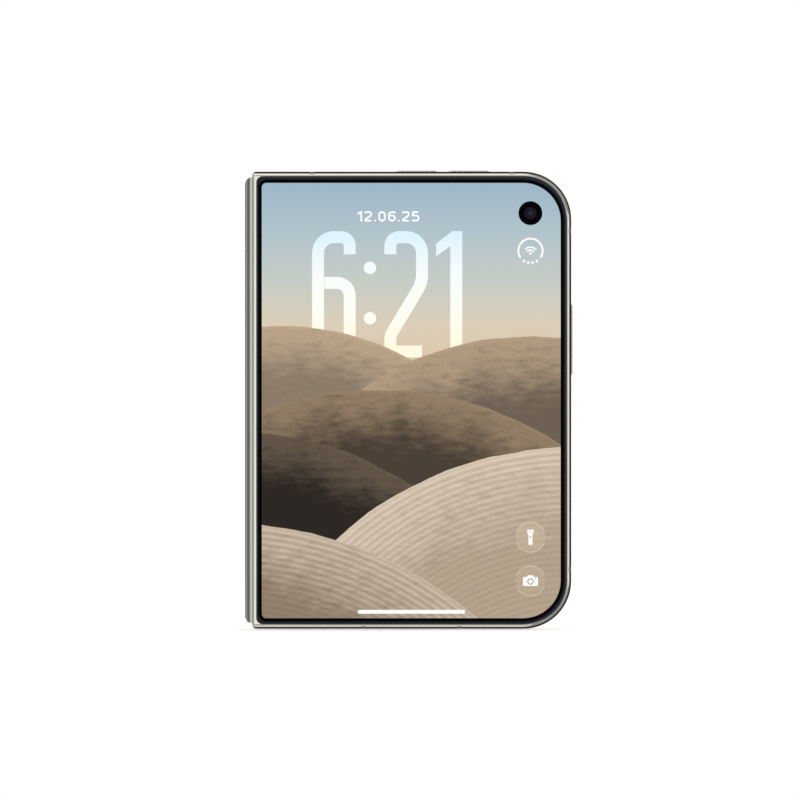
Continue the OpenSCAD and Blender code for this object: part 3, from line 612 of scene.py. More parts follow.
@dataclass(frozen=True)
class LensGlass(Finish):
    """Coated glass over the cameras, purple and green by the angle.

    Attributes:
        coating: Tints from the middle of a curved surface to its edge.
        smear: Length of a smear in millimetres.
    """

    coating: tuple[Stop, ...] = (
        (0.0, paint(205, 200, 232)),
        (0.45, paint(196, 226, 214)),
        (1.0, paint(230, 206, 235)),
    )
    smear: float = 2.5

    def dress(self, shader: Shader) -> None:
        """Builds the coated glass's tree.

        Args:
            shader: Shader that gets the nodes.
        """
        facing = shader.node("ShaderNodeLayerWeight", None, {"Blend": 0.4}, "Facing")
        smear = shader.noise(shader.place(), self.smear, 4.0)
        shader.surface({
            "Base Color": shader.ramp(facing, self.coating),
            "Roughness": smear * 0.03 + 0.005,
            "IOR": 1.5,
            "Specular IOR Level": 0.2,
            "Transmission Weight": 1.0,
        })


@dataclass(frozen=True)
class LensBead(Finish):
    """Dark lens element with coloured rings: painted reflections of its coatings, which also glow.

    Attributes:
        x: Middle across.
        z: Middle in height.
        radius: Radius of the element.
        coating_reflections: Painted reflection colours from the middle to the edge.
        dust: Width of a speck of dust in millimetres.
        glow: Strength of the painted glow of those colours, though the lens is no lamp.
    """

    x: float
    z: float
    radius: float
    coating_reflections: tuple[Stop, ...] = (
        (0.0, paint(8, 8, 14)),
        (0.3, paint(44, 26, 66)),
        (0.52, paint(28, 26, 58)),
        (0.62, paint(10, 12, 22)),
        (0.8, paint(26, 34, 50)),
        (1.0, paint(6, 7, 10)),
    )
    dust: float = 0.4
    glow: float = 0.35

    def dress(self, shader: Shader) -> None:
        """Builds the lens element's tree.

        Args:
            shader: Shader that gets the nodes.
        """
        place = shader.place()
        x, _, z = shader.split(place)
        share = (x - self.x).diagonal(z - self.z) / self.radius
        dust = shader.noise(place, self.dust, 3.0)
        colour = shader.ramp(share, self.coating_reflections)
        shader.surface({
            "Base Color": colour,
            "Roughness": dust * 0.04 + 0.02,
            "Coat Weight": 1.0,
            "Coat Roughness": 0.02,
            # The painted reflection colours glow as well, though the lens is no lamp
            "Emission Color": colour,
            "Emission Strength": self.glow,
        })


@dataclass(frozen=True)
class MachinedSteel(Finish):
    """Steel with the even lines of a cutter.

    Attributes:
        colour: Colour of the steel.
        pitch: Distance between the lines in millimetres.
        roughness: Mean roughness.
        waver: Length over which the lines waver.
        change: How far the wavering changes the roughness.
        relief: Depth of the lines in metres.
    """

    colour: Colour
    pitch: float = 0.12
    roughness: float = 0.3
    waver: float = 1.2
    change: float = 0.1
    relief: float = 0.8 * MICRON

    def dress(self, shader: Shader) -> None:
        """Builds the machined steel's tree.

        Args:
            shader: Shader that gets the nodes.
        """
        place = shader.place()
        waver = shader.noise(place, self.waver)
        lines = (shader.split(place)[2] + waver * 0.2).wave(self.pitch) * 0.5 + 0.5
        shader.surface({
            "Base Color": shader.varied(self.colour, 0.9, 1.06, waver),
            "Metallic": 1.0,
            "Roughness": waver * self.change + (self.roughness - self.change / 2),
            "Normal": shader.bump(lines, self.relief),
        })


@dataclass(frozen=True)
class CircuitBoard(Finish):
    """Green solder mask over tracks, with gilt pads.

    Attributes:
        bend: Length between the tracks' bends in millimetres.
        turn: Radians of the tracks' wave for each millimetre.
        pad: Distance between the pads in millimetres.
        relief: Height of tracks and pads in metres.
    """

    bend: float = 7.0
    turn: float = 7.0
    pad: float = 2.2
    relief: float = 12 * MICRON

    def dress(self, shader: Shader) -> None:
        """Builds the board's tree.

        Args:
            shader: Shader that gets the nodes.
        """
        place = shader.place()
        x, _, z = shader.split(place)
        bend = (shader.noise(place, self.bend) * 14).done("FLOOR")
        tracks = ((x + z * 0.5 + bend) * self.turn).done("SINE").step(0.2, 0.5)
        pads = shader.cells(place, self.pad).step(0.22, 0.16)
        mask = shader.blend(paint(22, 58, 38), paint(34, 82, 52), tracks)
        shader.surface({
            "Base Color": shader.blend(mask, paint(214, 178, 104), pads),
            "Metallic": pads,
            "Roughness": 0.45 - pads * 0.15,
            "Normal": shader.bump(tracks * 0.6 + pads * 0.4, self.relief),
        })


@dataclass(frozen=True)
class FoilPouch(Finish):
    """Wrinkled dark foil of a battery cell.

    Attributes:
        wrinkle: Length of a wrinkle in millimetres.
        grain: Width of a grain in millimetres.
        relief: Depth of the wrinkles in metres.
    """

    wrinkle: float = 3.5
    grain: float = 0.15
    relief: float = 60 * MICRON

    def dress(self, shader: Shader) -> None:
        """Builds the foil's tree.

        Args:
            shader: Shader that gets the nodes.
        """
        place = shader.place()
        wrinkles = shader.noise(shader.stretched(place, (1.0, 1.0, 0.35)), self.wrinkle, 5.0)
        grain = shader.noise(place, self.grain)
        shader.surface({
            "Base Color": shader.blend(paint(44, 45, 48), paint(64, 65, 69), wrinkles),
            "Metallic": 0.55,
            "Roughness": grain * 0.1 + 0.4,
            "Normal": shader.bump(wrinkles, self.relief),
        })


@dataclass(frozen=True)
class WoundCopper(Finish):
    """Fine wire wound in a flat spiral.

    Attributes:
        x: Middle across.
        z: Middle in height.
        pitch: Distance between the turns in millimetres.
        cloud: Length of a cloud in millimetres.
        relief: Height of the turns in metres.
    """

    x: float
    z: float
    pitch: float = 0.4
    cloud: float = 3.0
    relief: float = 60 * MICRON

    def dress(self, shader: Shader) -> None:
        """Builds the winding's tree.

        Args:
            shader: Shader that gets the nodes.
        """
        place = shader.place()
        x, _, z = shader.split(place)
        turns = (x - self.x).diagonal(z - self.z).wave(self.pitch) * 0.5 + 0.5
        cloud = shader.noise(place, self.cloud)
        shader.surface({
            "Base Color": shader.blend(paint(150, 84, 46), paint(212, 138, 88), turns * 0.7 + cloud * 0.3),
            "Metallic": 1.0,
            "Roughness": cloud * 0.1 + 0.26,
            "Normal": shader.bump(turns, self.relief),
        })


@dataclass(frozen=True)
class FlexFilm(Finish):
    """Amber film with copper tracks along it.

    Attributes:
        pitch: Distance between the tracks in millimetres.
        cloud: Length of a cloud in millimetres.
        relief: Height of the tracks in metres.
    """

    pitch: float = 0.5
    cloud: float = 1.5
    relief: float = 15 * MICRON

    def dress(self, shader: Shader) -> None:
        """Builds the film's tree.

        Args:
            shader: Shader that gets the nodes.
        """
        place = shader.place()
        tracks = shader.split(place)[2].wave(self.pitch).step(-0.1, 0.3)
        cloud = shader.noise(place, self.cloud)
        film = shader.blend(paint(150, 96, 36), paint(176, 118, 50), cloud)
        shader.surface({
            "Base Color": shader.blend(film, paint(196, 140, 78), tracks),
            "Roughness": cloud * 0.1 + 0.28,
            "Normal": shader.bump(tracks, self.relief),
        })


@dataclass(frozen=True)
class DarkFilm(Finish):
    """Bendable display that is off: black, glossy, slightly wavy.

    Attributes:
        wave: Length of a wave in millimetres.
        smear: Length of a smear in millimetres.
        relief: Depth of the waves in metres.
    """

    wave: float = 12.0
    smear: float = 6.0
    relief: float = 8 * MICRON

    def dress(self, shader: Shader) -> None:
        """Builds the film's tree.

        Args:
            shader: Shader that gets the nodes.
        """
        place = shader.place()
        waves = shader.noise(shader.stretched(place, (1.0, 1.0, 0.3)), self.wave)
        smear = shader.noise(place, self.smear, 4.0)
        shader.surface({
            "Base Color": shader.blend(paint(12, 12, 15), paint(17, 17, 21), smear),
            "Roughness": smear * 0.05 + 0.06,
            "Specular IOR Level": 0.4,
            "Normal": shader.bump(waves, self.relief),
        })


@dataclass(frozen=True)
class Phosphor(Finish):
    """Pale yellow lamp with deeper dies.

    Attributes:
        speck: Width of a speck in millimetres.
        die: Distance between the lit dies in millimetres.
        relief: Height of the specks in metres.
    """

    speck: float = 0.08
    die: float = 1.1
    relief: float = 10 * MICRON

    def dress(self, shader: Shader) -> None:
        """Builds the lamp's tree.

        Args:
            shader: Shader that gets the nodes.
        """
        place = shader.place()
        specks = shader.noise(place, self.speck)
        dies = shader.cells(place, self.die).step(0.42, 0.36)
        shader.surface({
            "Base Color": shader.blend(paint(226, 208, 128), paint(240, 196, 58), dies),
            "Roughness": specks * 0.2 + 0.4,
            "Normal": shader.bump(specks, self.relief),
        })


@dataclass(frozen=True)
class Petal:
    """One round sheet of the picture on the cover display.

    Attributes:
        x: Centre across.
        z: Centre in height.
        radius: Radius of the sheet.
        edge: Colour at its edge.
        deep: Colour further in.
        reach: Distance from the edge to the deep colour.
        ripple: Share of the fine lines in its shade.
    """

    x: float
    z: float
    radius: float
    edge: Colour
    deep: Colour
    reach: float
    ripple: float = 0.0


@dataclass(frozen=True)
class Picture:
    """Picture of a pale sky over overlapping round sheets.

    Attributes:
        petals: The sheets, from the furthest to the nearest.
        sky: Colours of the sky from its bottom to its top.
        sky_low: Height of the sky's bottom.
        sky_high: Height of its top.
        drift: Length over which edges and shades drift, in millimetres.
        wander: How far the edges wander.
        grain: Width of a grain.
        fibre: Length of a fibre in the sheets.
        pleat: Distance between the fine lines.
    """

    petals: tuple[Petal, ...] = (
        Petal(-34.0, 10.0, 70.0, paint(186, 163, 136), paint(140, 124, 105), 16.0),
        Petal(31.0, 2.0, 75.0, paint(176, 154, 128), paint(110, 97, 83), 20.0),
        Petal(-8.0, -24.0, 87.0, paint(146, 125, 101), paint(74, 64, 54), 17.0),
        Petal(-46.0, -32.0, 84.0, paint(98, 85, 71), paint(45, 39, 34), 15.0),
        Petal(44.0, -46.0, 94.0, paint(220, 204, 183), paint(183, 165, 143), 26.0, 1.0),
        Petal(-50.0, -76.0, 104.0, paint(205, 188, 166), paint(148, 130, 110), 22.0, 1.0),
    )
    sky: tuple[Stop, ...] = (
        (0.0, paint(220, 199, 172)),
        (0.18, paint(220, 206, 183)),
        (0.42, paint(200, 205, 197)),
        (0.7, paint(178, 196, 203)),
        (1.0, paint(157, 183, 201)),
    )
    sky_low: float = 71.0
    sky_high: float = 118.0
    drift: float = 15.0
    wander: float = 1.6
    grain: float = 0.45
    fibre: float = 2.2
    pleat: float = 1.6

    def colour(self, shader: Shader, far: Value | None = None) -> Value:
        """Builds the picture's colour.

        Args:
            shader: Shader that gets the nodes.
            far: What lies behind all sheets, or None for the sky.

        Returns:
            The colour at each point.
        """
        place = shader.place()
        x, _, z = shader.split(place)
        colour = far or shader.ramp((z - self.sky_low) / (self.sky_high - self.sky_low), self.sky)
        flat = shader.stretched(place, (1.0, 0.0, 1.0))
        drift = shader.noise(flat, self.drift, 5.0) - 0.5
        grain = shader.noise(flat, self.grain, 4.0) - 0.5
        fibre = shader.noise(shader.stretched(flat, (0.5, 1.0, 1.6)), self.fibre, 6.0) - 0.5
        grime = (grain * 1.3 + fibre * 0.9).step(0.0, 0.6) * 0.6
        for petal in self.petals:
            inside = petal.radius - (x - petal.x).diagonal(z - petal.z)
            depth = inside + drift * self.wander
            shade = (depth / petal.reach + drift * 0.7 + fibre * 0.8).step(0.0, 1.0)
            sheet = shader.blend(petal.edge, petal.deep, shade)
            if petal.ripple:
                pleats = inside.wave(self.pleat) * 0.5 + 0.5
                sheet = shader.blend(sheet, toned(petal.deep, 0.72), pleats * 0.4 * petal.ripple)
            sheet = shader.blend(sheet, toned(petal.edge, 1.14), depth.step(1.1, 0.0) * 0.5)
            sheet = shader.blend(sheet, toned(petal.deep, 0.62), grime)
            colour = shader.blend(colour, sheet, depth.step(-0.09, 0.09))
        return colour


@dataclass(frozen=True)
class LitGlass(Finish):
    """Black cover glass with the lit picture under it and a painted reflection near its rounded edge.

    Attributes:
        picture: Picture on the display.
        left: Row X of the lit area's left side.
        right: Row X of its right side.
        low: Height of its bottom.
        high: Height of its top.
        left_corner: Radius of its left corners.
        right_corner: Radius of its right corners.
        hole_x: Middle of the camera's hole across.
        hole: Radius of the hole.
        shine: Distances beyond the lit area between which a painted reflection makes the glass lighter.
        fade: Distances between which the painted reflection fades to black again.
    """

    picture: Picture
    left: float = -38.86
    right: float = 39.98
    low: float = 2.8
    high: float = 117.63
    left_corner: float = 1.2
    right_corner: float = 10.0
    hole_x: float = 32.0
    hole: float = 3.15
    shine: Point = (0.65, 1.3)
    fade: Point = (1.5, 1.9)

    def _beyond(self, x: Value, z: Value) -> Value:
        """Measures the distance beyond the lit area's outline.

        Args:
            x: Row X of the point.
            z: Height of the point.

        Returns:
            The distance, below 0 inside the outline.
        """
        middle, half = (self.low + self.high) / 2, (self.high - self.low) / 2
        up = (z - middle).done("ABSOLUTE")
        sides = []
        for side, radius, sign in ((self.left, self.left_corner, -1), (self.right, self.right_corner, 1)):
            beyond = (x - (side - sign * radius)) * sign
            over = up - (half - radius)
            away = beyond.done("MAXIMUM", 0.0).diagonal(over.done("MAXIMUM", 0.0))
            sides.append(away + beyond.done("MAXIMUM", over).done("MINIMUM", 0.0) - radius)
        return sides[0].done("MAXIMUM", sides[1])

    def dress(self, shader: Shader) -> None:
        """Builds the glass's tree.

        Args:
            shader: Shader that gets the nodes.
        """
        x, _, z = shader.split(shader.place())
        beyond = self._beyond(x, z)
        hole = self.hole - (x - self.hole_x).diagonal(z - EYE_Z)
        lit = beyond.done("MAXIMUM", hole).step(0.03, -0.03)
        # Painted reflection of the rounded glass edge: a navy band round the lit area, lighter than the black
        # glass
        rim = beyond.step(*self.shine) - beyond.step(*self.fade)
        glass = shader.blend(paint(1, 1, 2), paint(38, 42, 50), rim)
        shader.screen(glass, shader.blend(grey(0.0), self.picture.colour(shader), lit))


@dataclass(frozen=True)
class Glow(Finish):
    """A lit sign on the display.

    Attributes:
        tones: Colours of the sign from its bottom to its top.
        low: Height of the bottom.
        high: Height of the top.
        picture: Picture whose sheets cover the sign, if it lies behind them.
        veil: Share of the picture that shows through the sign.
    """

    tones: tuple[Colour, ...]
    low: float = 0.0
    high: float = 120.0
    picture: Picture | None = None
    veil: float = 0.0

    def dress(self, shader: Shader) -> None:
        """Builds the sign's tree.

        Args:
            shader: Shader that gets the nodes.
        """
        share = (shader.split(shader.place())[2] - self.low) / (self.high - self.low)
        last = len(self.tones) - 1
        colour = shader.ramp(share, [(index / last, tone) for index, tone in enumerate(self.tones)])
        if self.picture and self.veil:
            colour = shader.blend(colour, self.picture.colour(shader), self.veil)
        elif self.picture:
            colour = self.picture.colour(shader, colour)
        shader.screen(paint(4, 4, 5), colour)


class Form:
    """A mesh under construction, in millimetres of the row frame."""

    def __init__(self) -> None:
        """Starts empty."""
        self.mesh = bmesh.new()

    def polygon(self, points: Iterable[Point], y: float) -> None:
        """Adds a flat face that looks along Y.

        Args:
            points: Corners in X and Z.
            y: Depth of the face.
        """
        corners = [self.mesh.verts.new((x, y, z)) for x, z in points]
        edges = [self.mesh.edges.new(pair) for pair in zip(corners, corners[1:] + corners[:1], strict=True)]
        bmesh.ops.contextual_create(self.mesh, geom=edges)

    def disc(self, centre: Point, radius: float, y: float, segments: int = 24) -> None:
        """Adds a flat disc that looks along Y.

        Args:
            centre: Its middle in X and Z.
            radius: Radius of the disc.
            y: Depth of the disc.
            segments: Number of sides.
        """
        turned = Matrix.Translation((centre[0], y, centre[1])) @ Matrix.Rotation(math.pi / 2, 4, "X")
        bmesh.ops.create_circle(self.mesh, cap_ends=True, radius=radius, segments=segments, matrix=turned)

    def stroke(
        self,
        path: Sequence[Point],
        width: float,
        y: float,
        closed: bool = False,
        round_ends: bool = True,
    ) -> None:
        """Adds a flat stroke of even width along a path.

        Args:
            path: Points in X and Z.
            width: Width of the stroke.
            y: Depth of the stroke.
            closed: Whether the path's end joins its start.
            round_ends: Whether the ends of an open path are round.
        """
        points = [Vector((x, y, z)) for x, z in path]
        if closed:
            points.append(points[0])
        normals = self._normals(points, closed)
        half = width / 2
        row = [self.mesh.verts.new(points[0] + normals[0] * half * side) for side in (1, 0, -1)]
        edges = [self.mesh.edges.new(row[:2]), self.mesh.edges.new(row[1:])]
        capped = round_ends and not closed
        if capped:
            self._cap(edges[0], points[0], normals[0], points[0] - points[1])
        for index in range(1, len(points)):
            made = bmesh.ops.extrude_edge_only(self.mesh, edges=edges)["geom"]
            for vert in (item for item in made if isinstance(item, bmesh.types.BMVert)):
                offset = (vert.co - points[index - 1]).dot(normals[index - 1])
                side = 0 if abs(offset) < half / 2 else math.copysign(1, offset)
                vert.co = points[index] + normals[index] * (half * side)
            edges = [item for item in made if isinstance(item, bmesh.types.BMEdge)]
        if capped:
            outer = max(edges, key=lambda edge: sum((v.co - points[-1]).dot(normals[-1]) for v in edge.verts))
            self._cap(outer, points[-1], normals[-1], points[-1] - points[-2])
        bmesh.ops.remove_doubles(self.mesh, verts=self.mesh.verts[:], dist=MERGE)

    @staticmethod
    def _normals(points: Sequence[Vector], closed: bool) -> list[Vector]:
        """Finds the sideways direction at each point of a path, mitred at its bends.

        Args:
            points: Points of the path.
            closed: Whether the last point lies on the first.

        Returns:
            A direction for each point, lengthened where the path bends.
        """
        across = []
        for first, second in zip(points, points[1:]):
            along = (second - first).normalized()
            across.append(Vector((-along.z, 0.0, along.x)))
        before = [across[-1] if closed else across[0]] + across
        after = across + [across[0] if closed else across[-1]]
        normals = []
        for one, two in zip(before, after, strict=True):
            middle = (one + two).normalized()
            normals.append(middle / max(middle.dot(one), 0.5))
        return normals

    def _cap(self, edge: bmesh.types.BMEdge, centre: Vector, normal: Vector, away: Vector) -> None:
        """Rounds a stroke's end by turning half of its last row about the end point.

        Args:
            edge: Half of the last row.
            centre: End point.
            normal: Sideways direction there.
            away: Direction out of the stroke.
        """
        sign = 1 if (Matrix.Rotation(math.pi / 2, 3, "Y") @ normal).dot(away) > 0 else -1
        copied = bmesh.ops.duplicate(self.mesh, geom=[edge, *edge.verts])["geom"]
        bmesh.ops.spin(
            self.mesh, geom=copied, cent=centre, axis=(0.0, 1.0, 0.0), angle=sign * math.pi, steps=14
        )

    def _extruded(self) -> list[bmesh.types.BMVert]:
        """Extrudes every face and returns the new vertices."""
        made = bmesh.ops.extrude_face_region(self.mesh, geom=self.mesh.faces[:])["geom"]
        return [item for item in made if isinstance(item, bmesh.types.BMVert)]

    def thicken(self, depth: float) -> None:
        """Extrudes every face by a depth along +Y."""
        bmesh.ops.translate(self.mesh, verts=self._extruded(), vec=(0.0, depth, 0.0))

    def lathe(self, profile: Sequence[Point], centre: Sequence[float], steps: int = 96) -> None:
        """Turns a profile about a line along Y.

        Args:
            profile: Points as radius and place along Y, from the axis outwards and round.
            centre: Point on the line.
            steps: Number of steps of the full turn.
        """
        middle = Vector(centre)
        row = [self.mesh.verts.new(middle + Vector((radius, along, 0.0))) for radius, along in profile]
        edges = [self.mesh.edges.new(pair) for pair in zip(row, row[1:])]
        bmesh.ops.spin(
            self.mesh, geom=[*row, *edges], cent=middle, axis=(0.0, 1.0, 0.0),
            angle=2 * math.pi, steps=steps, use_merge=True,
        )
        bmesh.ops.remove_doubles(self.mesh, verts=self.mesh.verts[:], dist=MERGE)

    def block(self, low: Sequence[float], high: Sequence[float], bevel: float) -> None:
        """Adds a block with bevelled edges.

        Args:
            low: Lowest corner.
            high: Highest corner.
            bevel: Width of the bevel.
        """
        size = Vector(high) - Vector(low)
        placed = Matrix.Translation((Vector(low) + Vector(high)) / 2) @ Matrix.Diagonal((*size, 1.0))
        made = bmesh.ops.create_cube(self.mesh, size=1.0, matrix=placed)["verts"]
        edges = list({edge for vert in made for edge in vert.link_edges})
        bmesh.ops.bevel(
            self.mesh, geom=edges, offset=bevel, segments=2, profile=0.5, affect="EDGES", material=-1
        )

    def sheet(
        self,
        columns: int,
        heights: Point,
        depths: Point,
        place: Callable[[float, float], Point],
    ) -> None:
        """Adds a sheet that is straight in height and bent in plan.

        Args:
            columns: Number of steps along the sheet.
            heights: Lowest and highest Z.
            depths: The two faces of the sheet, as distances through its thickness.
            place: Gives X and Y for a share along the sheet and a distance through it.
        """
        low, high = heights
        grid = bmesh.ops.create_grid(self.mesh, x_segments=columns, y_segments=1, size=0.5)["verts"]
        lifted = set(self._extruded())
        for vert in {*grid, *lifted}:
            share, height = vert.co.x + 0.5, low if vert.co.y < 0 else high
            x, y = place(share, depths[1] if vert in lifted else depths[0])
            vert.co = (x, y, height)

    def to_object(self, name: str, material: bpy.types.Material) -> bpy.types.Object:
        """Ends the mesh as a linked object with its place in its mesh.

        Args:
            name: Name of the piece.
            material: Material of the piece.

        Returns:
            The new object.
        """
        bmesh.ops.remove_doubles(self.mesh, verts=self.mesh.verts[:], dist=MERGE)
        bmesh.ops.recalc_face_normals(self.mesh, faces=self.mesh.faces[:])
        bmesh.ops.scale(self.mesh, verts=self.mesh.verts[:], vec=(MM, MM, MM))
        data = bpy.data.meshes.new(name)
        self.mesh.to_mesh(data)
        self.mesh.free()
        data.shade_smooth()
        data.set_sharp_from_angle(angle=math.radians(SHARP))
        data.materials.append(material)
        made = bpy.data.objects.new(name, data)
        bpy.context.scene.collection.objects.link(made)
        LOG.info("piece %s: %d faces", name, len(data.polygons))
        return made


def rounded(corners: Sequence[Corner], closed: bool = False, steps: int = 10) -> list[Point]:
    """Rounds the corners of a path.

    Args:
        corners: X, Z and radius of each corner.
        closed: Whether the last corner leads back to the first.
        steps: Steps of each round corner.

    Returns:
        The points of the rounded path.
    """
    made: list[Point] = []
    count = len(corners)
    for index, (x, z, radius) in enumerate(corners):
        corner = Vector((x, z))
        if not closed and index in (0, count - 1) or radius <= 0:
            made.append((x, z))
            continue
        back = Vector(corners[index - 1][:2]) - corner
        ahead = Vector(corners[(index + 1) % count][:2]) - corner
        half = back.angle(ahead) / 2
        reach = min(radius / math.tan(half), back.length * 0.5, ahead.length * 0.5)
        radius = reach * math.tan(half)
        centre = corner + (back.normalized() + ahead.normalized()).normalized() * (radius / math.sin(half))
        start = corner + back.normalized() * reach - centre
        turn = start.angle_signed(corner + ahead.normalized() * reach - centre)
        for step in range(steps + 1):
            point = centre + Matrix.Rotation(-turn * step / steps, 2) @ start
            made.append((point.x, point.y))
    return made


def arc(centre: Point, radius: float, start: float, end: float, steps: int = 32) -> list[Point]:
    """Finds the points of an arc.

    Args:
        centre: Its middle in X and Z.
        radius: Radius.
        start: First angle in degrees from +X.
        end: Last angle.
        steps: Number of steps.

    Returns:
        The points.
    """
    angles = [math.radians(start + (end - start) * step / steps) for step in range(steps + 1)]
    return [(centre[0] + radius * math.cos(angle), centre[1] + radius * math.sin(angle)) for angle in angles]


@dataclass(frozen=True)
class Stroke:
    """One stroke of a numeral.

    Attributes:
        corners: Places as shares of the numeral's width and height, with a
            radius as a share of its width.
        closed: Whether the stroke's end joins its start.
    """

    corners: tuple[Corner, ...]
    closed: bool = False


NUMERALS: dict[str, Stroke] = {
    "0": Stroke(((0, 0, 0.5), (0, 1, 0.5), (1, 1, 0.5), (1, 0, 0.5)), True),
    "2": Stroke((
        (0, 0.85, 0), (0, 1, 0.5), (1, 1, 0.5), (1, 0.6, 0.9), (0, 0.14, 0.5), (0, 0, 0.04), (1, 0, 0),
    )),
    "5": Stroke((
        (0.95, 1, 0), (0.04, 1, 0.04), (0, 0.6, 0.04), (1, 0.6, 0.5), (1, 0, 0.5), (0, 0, 0.5), (0, 0.15, 0),
    )),
    "6": Stroke((
        (1, 0.85, 0), (1, 1, 0.5), (0, 1, 0.5), (0, 0, 0.5), (1, 0, 0.5), (1, 0.6, 0.5), (0.2, 0.6, 0),
    )),
}

# Outlines of the round buttons' signs about a button's middle
TORCH_HEAD: tuple[Corner, ...] = ((-0.9, 1.98, 0.1), (0.9, 1.98, 0.1), (0.9, 1.42, 0.1), (-0.9, 1.42, 0.1))
TORCH_GRIP: tuple[Corner, ...] = (
    (-0.9, 1.3, 0.05), (0.9, 1.3, 0.05), (0.53, 0.5, 0.1),
    (0.53, -2.0, 0.2), (-0.53, -2.0, 0.2), (-0.53, 0.5, 0.1),
)
CAMERA_BODY: tuple[Corner, ...] = (
    (-2.0, -1.35, 0.4), (-2.0, 1.05, 0.4), (-1.0, 1.05, 0.1), (-0.65, 1.5, 0.15),
    (0.65, 1.5, 0.15), (1.0, 1.05, 0.1), (2.0, 1.05, 0.4), (2.0, -1.35, 0.4),
)


@dataclass
class Lettering:
    """A row of numerals drawn with even strokes.

    Attributes:
        text: Numerals, with a colon or a full stop as dots.
        x: Left end.
        z: Bottom.
        width: Width of a numeral.
        height: Height of a numeral.
        weight: Width of the strokes.
        gap: Gap between the signs.
        dots: Heights of a colon's two dots as shares of the height.
        dot: Radius of a dot as a share of the strokes' width.
    """

    text: str
    x: float
    z: float
    width: float
    height: float
    weight: float
    gap: float
    dots: Point = (0.31, 0.71)
    dot: float = 0.52

    def build(self, form: Form, y: float) -> None:
        """Adds the row to a form.

        Args:
            form: Form that gets the strokes.
            y: Depth of their faces.
        """
        x = self.x
        for sign in self.text:
            if sign in ".:":
                radius = self.weight * self.dot
                colon = [self.z + share * self.height for share in self.dots]
                for height in colon if sign == ":" else [self.z + radius]:
                    form.disc((x + radius, height), radius, y, 40)
                x += 2 * radius
            elif sign == "1":
                x += self._one(form, x, y)
            else:
                x += self._numeral(form, sign, x, y)
            x += self.gap

    def _numeral(self, form: Form, sign: str, x: float, y: float) -> float:
        """Adds one numeral.

        Args:
            form: Form that gets the stroke.
            sign: The numeral.
            x: Its left end.
            y: Depth of its face.

        Returns:
            Its width.
        """
        half = self.weight / 2
        across, up = self.width - self.weight, self.height - self.weight
        stroke = NUMERALS[sign]
        corners = [(x + half + u * across, self.z + half + v * up, r * across) for u, v, r in stroke.corners]
        form.stroke(rounded(corners, stroke.closed), self.weight, y, stroke.closed, False)
        return self.width

    def _one(self, form: Form, x: float, y: float) -> float:
        """Adds the numeral one, a stem with a flag.

        Args:
            form: Form that gets the face.
            x: Its left end.
            y: Depth of its face.

        Returns:
            Its width.
        """
        width, weight, low, high = self.width * 0.6, self.weight, self.z, self.z + self.height
        stem = x + width - weight
        form.polygon([
            (x + width, low), (x + width, high), (stem + weight * 0.15, high), (x, high - weight * 1.05),
            (x, high - weight * 2.1), (stem, high - weight * 1.25), (stem, low),
        ], y)
        return width


@dataclass
class StatusSign:
    """Status ring, open at the bottom, with dots in its gap and signal arcs inside.

    Attributes:
        x: Middle across.
        z: Middle in height.
        radius: Radius of the ring.
        width: Width of its stroke.
        dot_r: Radius of a dot.
        arcs: Radii of the signal arcs.
        arc_width: Width of their strokes.
        arc_drop: How far their middle lies under the ring's.
        wedge_r: Radius of the wedge at their foot.
        wedge_drop: How far its point lies under the ring's middle.
    """

    x: float
    z: float = 99.74
    radius: float = 3.2
    width: float = 0.5
    dot_r: float = 0.36
    arcs: Point = (1.24, 2.02)
    arc_width: float = 0.4
    arc_drop: float = 1.08
    wedge_r: float = 0.72
    wedge_drop: float = 1.12

    def build(self, form: Form, y: float) -> None:
        """Adds the sign to a form.

        Args:
            form: Form that gets the strokes.
            y: Depth of their faces.
        """
        middle, low, point = ((self.x, self.z - drop) for drop in (0.0, self.arc_drop, self.wedge_drop))
        form.stroke(arc(middle, self.radius, -31, 211, 64), self.width, y)
        for dot in arc(middle, self.radius, -122, -58, 3):
            form.disc(dot, self.dot_r, y)
        for radius in self.arcs:
            form.stroke(arc(low, radius, 48, 132, 20), self.arc_width, y)
        form.polygon([point, *arc(point, self.wedge_r, 46, 134, 10)], y)


